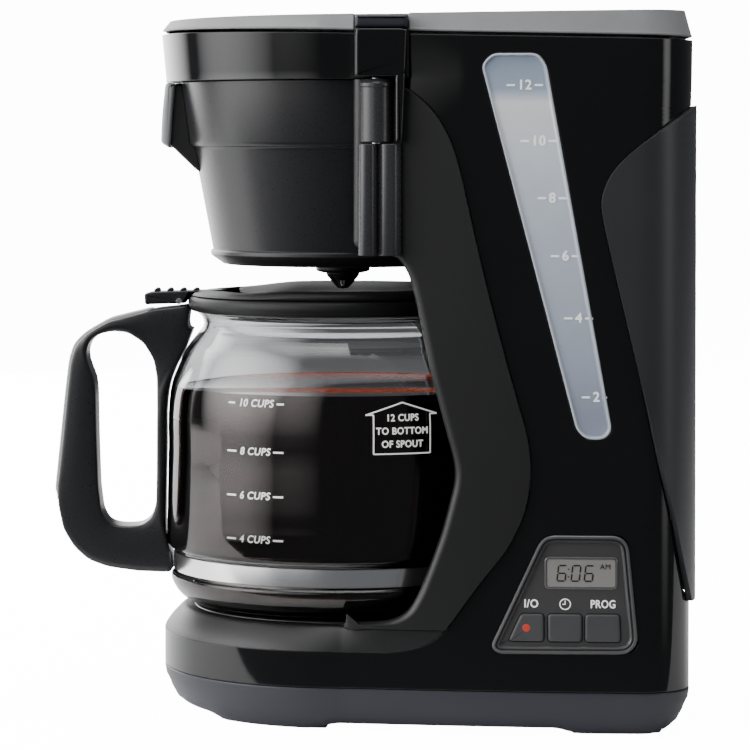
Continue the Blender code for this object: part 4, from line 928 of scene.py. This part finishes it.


# Window: the empty tank's blue above; below it the water's pale grey, with painted shade darkening towards
# the foot and a near-white painted highlight just under the water's surface.
def windowLook():
    made = surface("waterWindow", (0.5, 0.56, 0.63), 0.18, 0.06, 1.6, 0.01, 12, 0.25)
    tree = made.node_tree
    shader = tree.nodes["Principled BSDF"]
    place = [n for n in tree.nodes if n.type == "TEX_COORD"][0]
    split = node(tree, "SeparateXYZ")
    tree.links.new(place.outputs["Object"], split.inputs[0])
    ramp = node(tree, "ValToRGB")
    span = node(tree, "MapRange")
    span.inputs["From Min"].default_value = 0.118
    span.inputs["From Max"].default_value = 0.273
    tree.links.new(split.outputs["Z"], span.inputs["Value"])
    tree.links.new(span.outputs["Result"], ramp.inputs["Fac"])
    tintAndShadeBands = ramp.color_ramp
    # Stops: painted shade at the foot, lighter upwards to the painted highlight under the surface, then the
    # empty tank's blue.
    tintAndShadeBands.elements[0].position, tintAndShadeBands.elements[0].color = 0, (0.29, 0.32, 0.41, 1)
    tintAndShadeBands.elements[1].position, tintAndShadeBands.elements[1].color = 1, (0.3, 0.37, 0.48, 1)
    for spot, colour in ((0.25, (0.45, 0.5, 0.6, 1)), (0.6, (0.62, 0.68, 0.77, 1)),
                         (0.87, (0.9, 0.93, 0.97, 1)), (0.905, (0.4, 0.48, 0.6, 1))):
        stop = tintAndShadeBands.elements.new(spot)
        stop.color = colour
    mix = [n for n in tree.nodes if n.type == "MIX"][0]
    tint = node(tree, "Mix", data_type="RGBA", blend_type="MULTIPLY")
    tint.inputs[0].default_value = 1
    for link in list(mix.outputs[2].links):
        tree.links.remove(link)
    mix.inputs[6].default_value = (0.92, 0.92, 0.92, 1)
    mix.inputs[7].default_value = (1.08, 1.08, 1.08, 1)
    tree.links.new(ramp.outputs["Color"], tint.inputs[6])
    tree.links.new(mix.outputs[2], tint.inputs[7])
    tree.links.new(tint.outputs[2], shader.inputs["Base Color"])
    return made


looks["window"] = windowLook()
looks["rim"] = surface("windowRim", (0.6, 0.64, 0.7), 0.2, 0.05, 1, 0.006, 15, 0.2)
denseWindow = resample(windowOutline, 3)
wallPatch("waterWindow", denseWindow,
          [(0, -2.2), (0, -0.5), (0.15, -0.15), (0.5, 0.05), (1, 0.05), (1.4, -0.4), (1.7, -0.5)],
          "window", stands=["water_window"], fill=14)


# Frame round a patch: rings that go out over a rounded ridge and back, closed on themselves.
def wallRim(name, outline, steps, look, stands=()):
    rings = wallRings(outline, steps)
    return stacked(name, onNear(rings + rings[:1]), look, "machine", stands, 32, (False, False))


wallRim("windowRim", denseWindow,
        [(0.1, -0.6), (0.1, 0.05), (0.3, 0.25), (0.7, 0.3), (1, 0.15), (1.1, -0.5)], "rim",
        ["water_window"])

panelRimReach = [2.6, 2.6, 3.2, 3.2, 3.4, 3.4, 3.4, 3.4]
# Rim, lens and keys of the control panel as (x, z).
panel = {
    "rim": resample(roundLine([(53, 33.3), (50.2, 36), (69.8, 78.4), (73.4, 80.6), (101, 80.6),
                               (104.6, 77.4), (108.4, 38), (104.4, 33.6)], panelRimReach, 6, True), 2.5),
    "lens": resample(roundLine([(72.3, 60), (99.7, 60), (99.7, 71.3), (72.3, 71.3)], 1.2, 5, True), 2.5),
    "keys": {"button_power": ([(57.2, 38.3), (71.1, 38.3), (71.1, 49.2), (62.2, 49.2)], "power_key",
                              "keyPower"),
             "button_clock": ([(73, 38.3), (86.2, 38.3), (86.2, 49.2), (73, 49.2)], "clock_key",
                              "keyClock"),
             "button_program": ([(87.7, 38.3), (101.6, 38.3), (101.1, 49.2), (87.7, 49.2)], "program_key",
                                "keyProgram")},
}
looks["ridge"] = surface("panelRidge", (0.1, 0.1, 0.104), 0.22, 0.1, 1, 0.002, 15, 0)
looks["face"] = surface("panelFace", (0.06, 0.06, 0.059), 0.34, 0.1, 0.8, 0.006, 12, 0.2)
wallPatch("controlFace", panel["rim"], [(0, -2.2), (0, -0.4), (1.8, -0.4), (2.6, -0.75), (3.2, -0.8)],
          "face", stands=["control_panel"], fill=16)
wallRim("panelRidge", panel["rim"],
        [(-0.1, -0.5), (-0.1, 0.5), (0.2, 0.85), (0.7, 0.95), (1.1, 0.8), (1.3, -0.5)], "ridge",
        ["control_panel"])
wallRim("panelStep", panel["rim"], [(1.5, -0.5), (1.6, 0.1), (1.9, 0.3), (2.3, 0.15), (3, -0.8)], "face",
        ["control_panel"])
looks["lcd"] = surface("displayGrey", (0.28, 0.27, 0.255), 0.25, 0.06, 1.2, 0.002, 10, 0.2)
looks["digit"] = surface("digitDark", (0.012, 0.012, 0.012), 0.4, 0.1, 0.8, 0.002, 8, 0)
wallPatch("displayLens", panel["lens"], [(0, -2.2), (0, -0.75), (0.2, -0.6), (0.4, -0.62)], "lcd",
          stands=["display_lens"])
wallRim("displayFrame", panel["lens"],
        [(-0.9, -0.9), (-0.8, -0.6), (-0.4, -0.35), (-0.05, -0.4), (0.1, -0.9)], "ridge",
        ["control_panel"])
for nodeName, (corners, body, name) in panel["keys"].items():
    keyLine = resample(roundLine(corners, 1.4, 5, True), 2)
    wallPatch(name, keyLine, [(0, -3.6), (0, -0.35), (0.15, -0.05), (0.5, 0.15), (0.9, 0.18)], "key",
              body, [nodeName])
    wallRim(name + "Gap", keyLine, [(-0.5, -0.9), (-0.45, -0.72), (-0.2, -0.7), (0.05, -1)], "panel",
            ["control_panel"])


# Lamp glow under the key: the glow fades with the distance from the lamp, and noise breaks it up.
def glowLook():
    made = surface("lampGlow", (0.35, 0.03, 0.02), 0.35, 0.1, 0.8, 0.004, 5, 0)
    tree = made.node_tree
    shader = tree.nodes["Principled BSDF"]
    place = [n for n in tree.nodes if n.type == "TEX_COORD"][0]
    shift = node(tree, "Mapping")
    shift.inputs["Location"].default_value = (-0.06425, 0.0825, -0.0437)
    tree.links.new(place.outputs["Object"], shift.inputs["Vector"])
    length = node(tree, "VectorMath", operation="LENGTH")
    tree.links.new(shift.outputs["Vector"], length.inputs[0])
    fall = node(tree, "MapRange")
    fall.interpolation_type = "SMOOTHSTEP"
    fall.inputs["From Min"].default_value = 0.0002
    fall.inputs["From Max"].default_value = 0.0022
    fall.inputs["To Min"].default_value = 5
    fall.inputs["To Max"].default_value = 0.25
    tree.links.new(length.outputs["Value"], fall.inputs["Value"])
    tree.links.new(fall.outputs["Result"], shader.inputs["Emission Strength"])
    shader.inputs["Emission Color"].default_value = (1, 0.12, 0.06, 1)
    return made


looks["glow"] = glowLook()
lampTurn = np.linspace(0, 2 * np.pi, 33)[:-1]
lampLine = np.stack([64.25 + 1.7 * np.cos(lampTurn), 43.7 + 1.7 * np.sin(lampTurn)], 1)
wallPatch("powerLamp", lampLine, [(0, -1), (0, 0.12), (0.3, 0.24), (0.6, 0.26)], "glow", "power_key",
          ["power_lamp"])
note("window and panel")


# Text as a flat mesh: points (across, up, out) in millimetres and faces; bold adds copies moved that far.
def textMesh(words, size, bold=0, slant=0, narrow=1):
    curve = bpy.data.curves.new("words", "FONT")
    curve.body = words
    curve.size = size * mm
    curve.align_x = "CENTER"
    curve.align_y = "CENTER"
    curve.shear = slant
    curve.extrude = 0.04 * mm
    curve.resolution_u = 4
    curve.space_character = 1.08
    holder = bpy.data.objects.new("words", curve)
    bpy.context.scene.collection.objects.link(holder)
    bpy.context.view_layer.update()
    mesh = bpy.data.meshes.new_from_object(holder.evaluated_get(bpy.context.evaluated_depsgraph_get()))
    points = np.zeros(len(mesh.vertices) * 3)
    mesh.vertices.foreach_get("co", points)
    faces = [list(face.vertices) for face in mesh.polygons]
    bpy.data.objects.remove(holder)
    bpy.data.meshes.remove(mesh)
    plain = points.reshape(-1, 3) / mm * [narrow, 1, 1]
    shifts = [(x, y, 0.002 * i) for i, (x, y) in enumerate(((0, 0), (-1, 0), (1, 0), (0, 1), (0, -1)))]
    copies = [plain + np.array([x * bold, y * bold, out]) for x, y, out in shifts] if bold else [plain]
    starts = [turn * len(plain) for turn in range(len(copies))]
    allFaces = [[index + start for index in face] for start in starts for face in faces]
    return np.vstack(copies), allFaces


# Bar as a thin closed box between two ends, wide millimetres broad.
def barMesh(start, end, wide):
    start, end = np.asarray(start, float), np.asarray(end, float)
    along = (end - start) / np.linalg.norm(end - start)
    side = np.array([-along[1], along[0]]) * wide / 2
    t = np.linspace(0, 1, 9)[:, None]
    middle = start + (end - start) * t
    section = [(middle - side, -0.04), (middle + side, -0.04), (middle + side, 0.04),
               (middle - side, 0.04)]
    section += section[:1]
    points = np.concatenate([np.hstack([line, np.full((9, 1), out)]) for line, out in section])
    grid = points.reshape(5, 9, 3)
    faces = gridFaces(5, 9).tolist() + [[0, 9, 18, 27], [8, 35, 26, 17]]
    return grid.reshape(-1, 3), faces


# Several (place, mesh) parts as one mesh.
def joined(parts):
    points, faces, start = [], [], 0
    for place, (own, ownFaces) in parts:
        points.append(own + [place[0], place[1], 0])
        faces += [[index + start for index in face] for face in ownFaces]
        start += len(own)
    return np.vstack(points), faces


# Flat parts laid on the near wall, lift millimetres proud of it.
def onWall(name, parts, look, body="machine", lift=0.06, stands=()):
    flat, faces = joined(parts)
    x, z = flat[:, 0], flat[:, 1]
    return addPiece(name, np.stack([x, nearY(x, z, flat[:, 2] + lift), z], 1), faces, look, body, stands)


# Print on the bowl: across is arc length round it from the given angle, and up is height.
def onGlass(name, parts, turn, look):
    flat, faces = joined(parts)
    radius = np.interp(flat[:, 1], outerLine[60:, 1], outerLine[60:, 0]) + 0.06 + flat[:, 2]
    angle = math.radians(turn) + flat[:, 0] / 74
    points = np.stack([axisX + radius * np.sin(angle), -radius * np.cos(angle), flat[:, 1]], 1)
    return addPiece(name, points, faces, look, "carafe")


marks = {"size": 3.9,
         "bold": 0.11,
         "heights": {"10 CUPS": 131.6, "8 CUPS": 112.1, "6 CUPS": 94.2, "4 CUPS": 76.5}}
levelParts = []
for words, height in marks["heights"].items():
    wide = 9.6 if len(words) > 6 else 8.4
    levelParts.append(((0.3, height), textMesh(words, marks["size"] * 1.08, marks["bold"], 0.18)))
    levelParts.append(((0, height), barMesh((-13.2, 0), (-wide - 0.1, 0), 0.75)))
    levelParts.append(((0, height), barMesh((wide + 0.4, 0), (13.2, 0), 0.75)))
onGlass("cupMarks", levelParts, -28.6, "printWarm")
arrow = [((-12.2, 111.8), (12.2, 111.8)), ((12.2, 111.8), (12.2, 127.6)), ((12.2, 127.6), (15.4, 127.6)),
         ((15.4, 127.6), (0, 132.4)), ((0, 132.4), (-15.4, 127.6)), ((-15.4, 127.6), (-12.2, 127.6)),
         ((-12.2, 127.6), (-12.2, 111.8))]
spoutParts = [((0, 0), barMesh(a, b, 0.55)) for a, b in arrow]
for words, height in (("12 CUPS", 126.2), ("TO BOTTOM", 120.9), ("OF SPOUT", 115.6)):
    spoutParts.append(((0, height), textMesh(words, 3.9, 0.11, 0, 0.92)))
onGlass("spoutMark", spoutParts, 19.6, "printWarm")

levels = {"12": (63.4, 259.8),
          "10": (69, 237.6),
          "8": (74.4, 214.9),
          "6": (79.6, 191.9),
          "4": (84.9, 167.2),
          "2": (91.9, 135.8)}
windowParts = []
for words, (x, z) in levels.items():
    wide = 3.6 if len(words) > 1 else 2.2
    windowParts.append(((x, z), textMesh(words, 5.4, 0.14)))
    windowParts.append(((x, z), barMesh((-wide - 3.6, 0), (-wide - 0.3, 0), 0.7)))
    windowParts.append(((x, z), barMesh((wide + 0.3, 0), (wide + 3.6, 0), 0.7)))
onWall("levelMarks", windowParts, "print", lift=-0.38)

clock = (79.7, 53.2)
labels = [((66.2, 53.2), textMesh("I/O", 4.5, 0.1, narrow=0.9)),
          ((94.7, 53.2), textMesh("PROG", 4.5, 0.1, narrow=0.8)),
          (clock, barMesh((0, -0.1), (0, 1.5), 0.4)), (clock, barMesh((0.1, 0), (-1.1, 0), 0.4))]
clockTurn = np.linspace(0, 2 * np.pi, 25)
clockRing = np.stack([2.1 * np.cos(clockTurn), 2.1 * np.sin(clockTurn)], 1)
labels += [(clock, barMesh(a, b, 0.42)) for a, b in zip(clockRing[:-1], clockRing[1:])]
onWall("panelLabels", labels, "print", lift=-0.72)

segments = {"a": ((0, 2), (1, 2)), "b": ((1, 2), (1, 1)), "c": ((1, 1), (1, 0)), "d": ((0, 0), (1, 0)),
            "e": ((0, 0), (0, 1)), "f": ((0, 1), (0, 2)), "g": ((0, 1), (1, 1))}
shapes = {"6": "acdefg", "0": "abcdef"}
digitParts = []
for symbol, x in (("6", 76.4), ("0", 82), ("6", 87.2)):
    for letter in shapes[symbol]:
        (x0, z0), (x1, z1) = segments[letter]
        start = np.array([x0 * 3.2 + z0 * 0.35, z0 * 3.1])
        end = np.array([x1 * 3.2 + z1 * 0.35, z1 * 3.1])
        away = (end - start) / np.linalg.norm(end - start) * 0.3
        digitParts.append(((x, 62.5), barMesh(start + away, end - away, 0.55)))
digitParts += [((81, z), barMesh((-0.25, 0), (0.25, 0), 0.5)) for z in (64.2, 67.2)]
digitParts.append(((95.6, 68.2), textMesh("AM", 2.9, 0.02)))
onWall("clockDigits", digitParts, "digit", lift=-0.56)
note("printing")

carried = {
    "steel": ["screw_front_near", "screw_front_far", "screw_rear_near", "screw_rear_far", "heater_tube",
              "thermostat", "thermal_fuse", "valve_spring", "lid_pin_near", "lid_pin_far", "handle_screw",
              "carafe_pin"],
    "rubber": ["foot_front_near", "foot_front_far", "foot_rear_near", "foot_rear_far", "plate_gasket",
               "cord_gland"],
    "tank": ["water_tank"], "board": ["control_board"], "hose": ["inlet_hose", "riser_tube"],
    "satin": ["shower_head"], "inlay": ["check_valve"],
}
for look, names in carried.items():
    for name in names:
        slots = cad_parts[name].data.materials
        slots.clear()
        slots.append(looks[look])

world = bpy.data.worlds.new("studio")
bpy.context.scene.world = world
world.use_nodes = True
worldTree = world.node_tree
sky = worldTree.nodes["Background"]
sky.inputs["Color"].default_value = (0.75, 0.78, 0.82, 1)
sky.inputs["Strength"].default_value = 0.16
white = node(worldTree, "Background", Color=(1, 1, 1, 1), Strength=14)
rays = node(worldTree, "LightPath")
blend = node(worldTree, "MixShader")
worldTree.links.new(rays.outputs["Is Camera Ray"], blend.inputs[0])
worldTree.links.new(sky.outputs[0], blend.inputs[1])
worldTree.links.new(white.outputs[0], blend.inputs[2])
worldTree.links.new(blend.outputs[0], worldTree.nodes["World Output"].inputs["Surface"])

lights = [
    {"name": "softLeft", "at": (-1.2, -0.35, 0.62), "size": (1.7, 1.7), "power": 26},
    {"name": "wideLeft", "at": (-1, -1.45, 0.7), "size": (1.5, 1.7), "power": 7},
    {"name": "stripRight", "at": (1.2, -0.7, 0.6), "size": (0.5, 1.7), "power": 3.5},
    {"name": "topSoft", "at": (0, 0, 1.5), "size": (1.9, 1.9), "power": 26},
    {"name": "backWash", "at": (-0.95, 1.4, 0.6), "size": (2.3, 2), "power": 45},
]


# Soft-edged light: strength 36 u (1 - u) v (1 - v) over the light's face, which keeps the total power.
def fadeOut(data):
    data.use_nodes = True
    tree = data.node_tree
    place = node(tree, "NewGeometry")
    split = node(tree, "SeparateXYZ")
    tree.links.new(place.outputs["Parametric"], split.inputs[0])
    product = None
    for axis in ("X", "Y"):
        rest = node(tree, "Math", operation="SUBTRACT")
        rest.inputs[0].default_value = 1
        tree.links.new(split.outputs[axis], rest.inputs[1])
        hump = node(tree, "Math", operation="MULTIPLY")
        tree.links.new(split.outputs[axis], hump.inputs[0])
        tree.links.new(rest.outputs[0], hump.inputs[1])
        scaled = node(tree, "Math", operation="MULTIPLY")
        tree.links.new(hump.outputs[0], scaled.inputs[0])
        scaled.inputs[1].default_value = 6
        if product:
            tree.links.new(product.outputs[0], scaled.inputs[1])
        product = scaled
    last = node(tree, "Math", operation="MULTIPLY")
    last.inputs[1].default_value = 6
    tree.links.new(product.outputs[0], last.inputs[0])
    tree.links.new(last.outputs[0], tree.nodes["Emission"].inputs["Strength"])


for setup in lights:
    data = bpy.data.lights.new(setup["name"], "AREA")
    data.shape = "RECTANGLE"
    data.size, data.size_y = setup["size"]
    data.energy = setup["power"]
    fadeOut(data)
    lamp = bpy.data.objects.new(setup["name"], data)
    lamp.location = setup["at"]
    aim = Vector((0, 0, 0.14)) - lamp.location
    lamp.rotation_euler = aim.to_track_quat("-Z", "Y").to_euler()
    bpy.context.scene.collection.objects.link(lamp)
    lamp.visible_camera = False

ground = {"left": -4, "right": 4, "near": -0.13, "far": 4, "z": -0.0002, "glow": 14}
corners = [(ground[a], ground[b], ground["z"]) for a, b in (("left", "near"), ("right", "near"),
                                                            ("right", "far"), ("left", "far"))]
floorMesh = bpy.data.meshes.new("floor")
floorMesh.from_pydata(corners, [], [(0, 1, 2, 3)])
floor = bpy.data.objects.new("floor", floorMesh)
bpy.context.scene.collection.objects.link(floor)
looks["floor"] = surface("floorPale", (0.93, 0.93, 0.93), 0.6, 0.01, 2, 0.01, 300, 0)
floorMesh.materials.append(looks["floor"])
floorTree = looks["floor"].node_tree
floorShader = floorTree.nodes["Principled BSDF"]
floorShader.inputs["Emission Color"].default_value = (1, 1, 1, 1)
floorRays = node(floorTree, "LightPath")
floorGlow = node(floorTree, "MapRange")
floorGlow.inputs["To Max"].default_value = ground["glow"]
floorTree.links.new(floorRays.outputs["Is Camera Ray"], floorGlow.inputs["Value"])
floorTree.links.new(floorGlow.outputs["Result"], floorShader.inputs["Emission Strength"])

shot = {"x": 3.95, "distance": 1356, "z": 234, "pitch": 1.5, "shift": -0.188, "lens": 153.6}
cameraData = bpy.data.cameras.new("photoCamera")
cameraData.lens = shot["lens"]
cameraData.sensor_width = 36
cameraData.shift_y = shot["shift"]
camera = bpy.data.objects.new("photoCamera", cameraData)
camera.location = (shot["x"] * mm, -shot["distance"] * mm, shot["z"] * mm)
camera.rotation_euler = (math.radians(90 - shot["pitch"]), 0, 0)
bpy.context.scene.collection.objects.link(camera)
bpy.context.scene.camera = camera
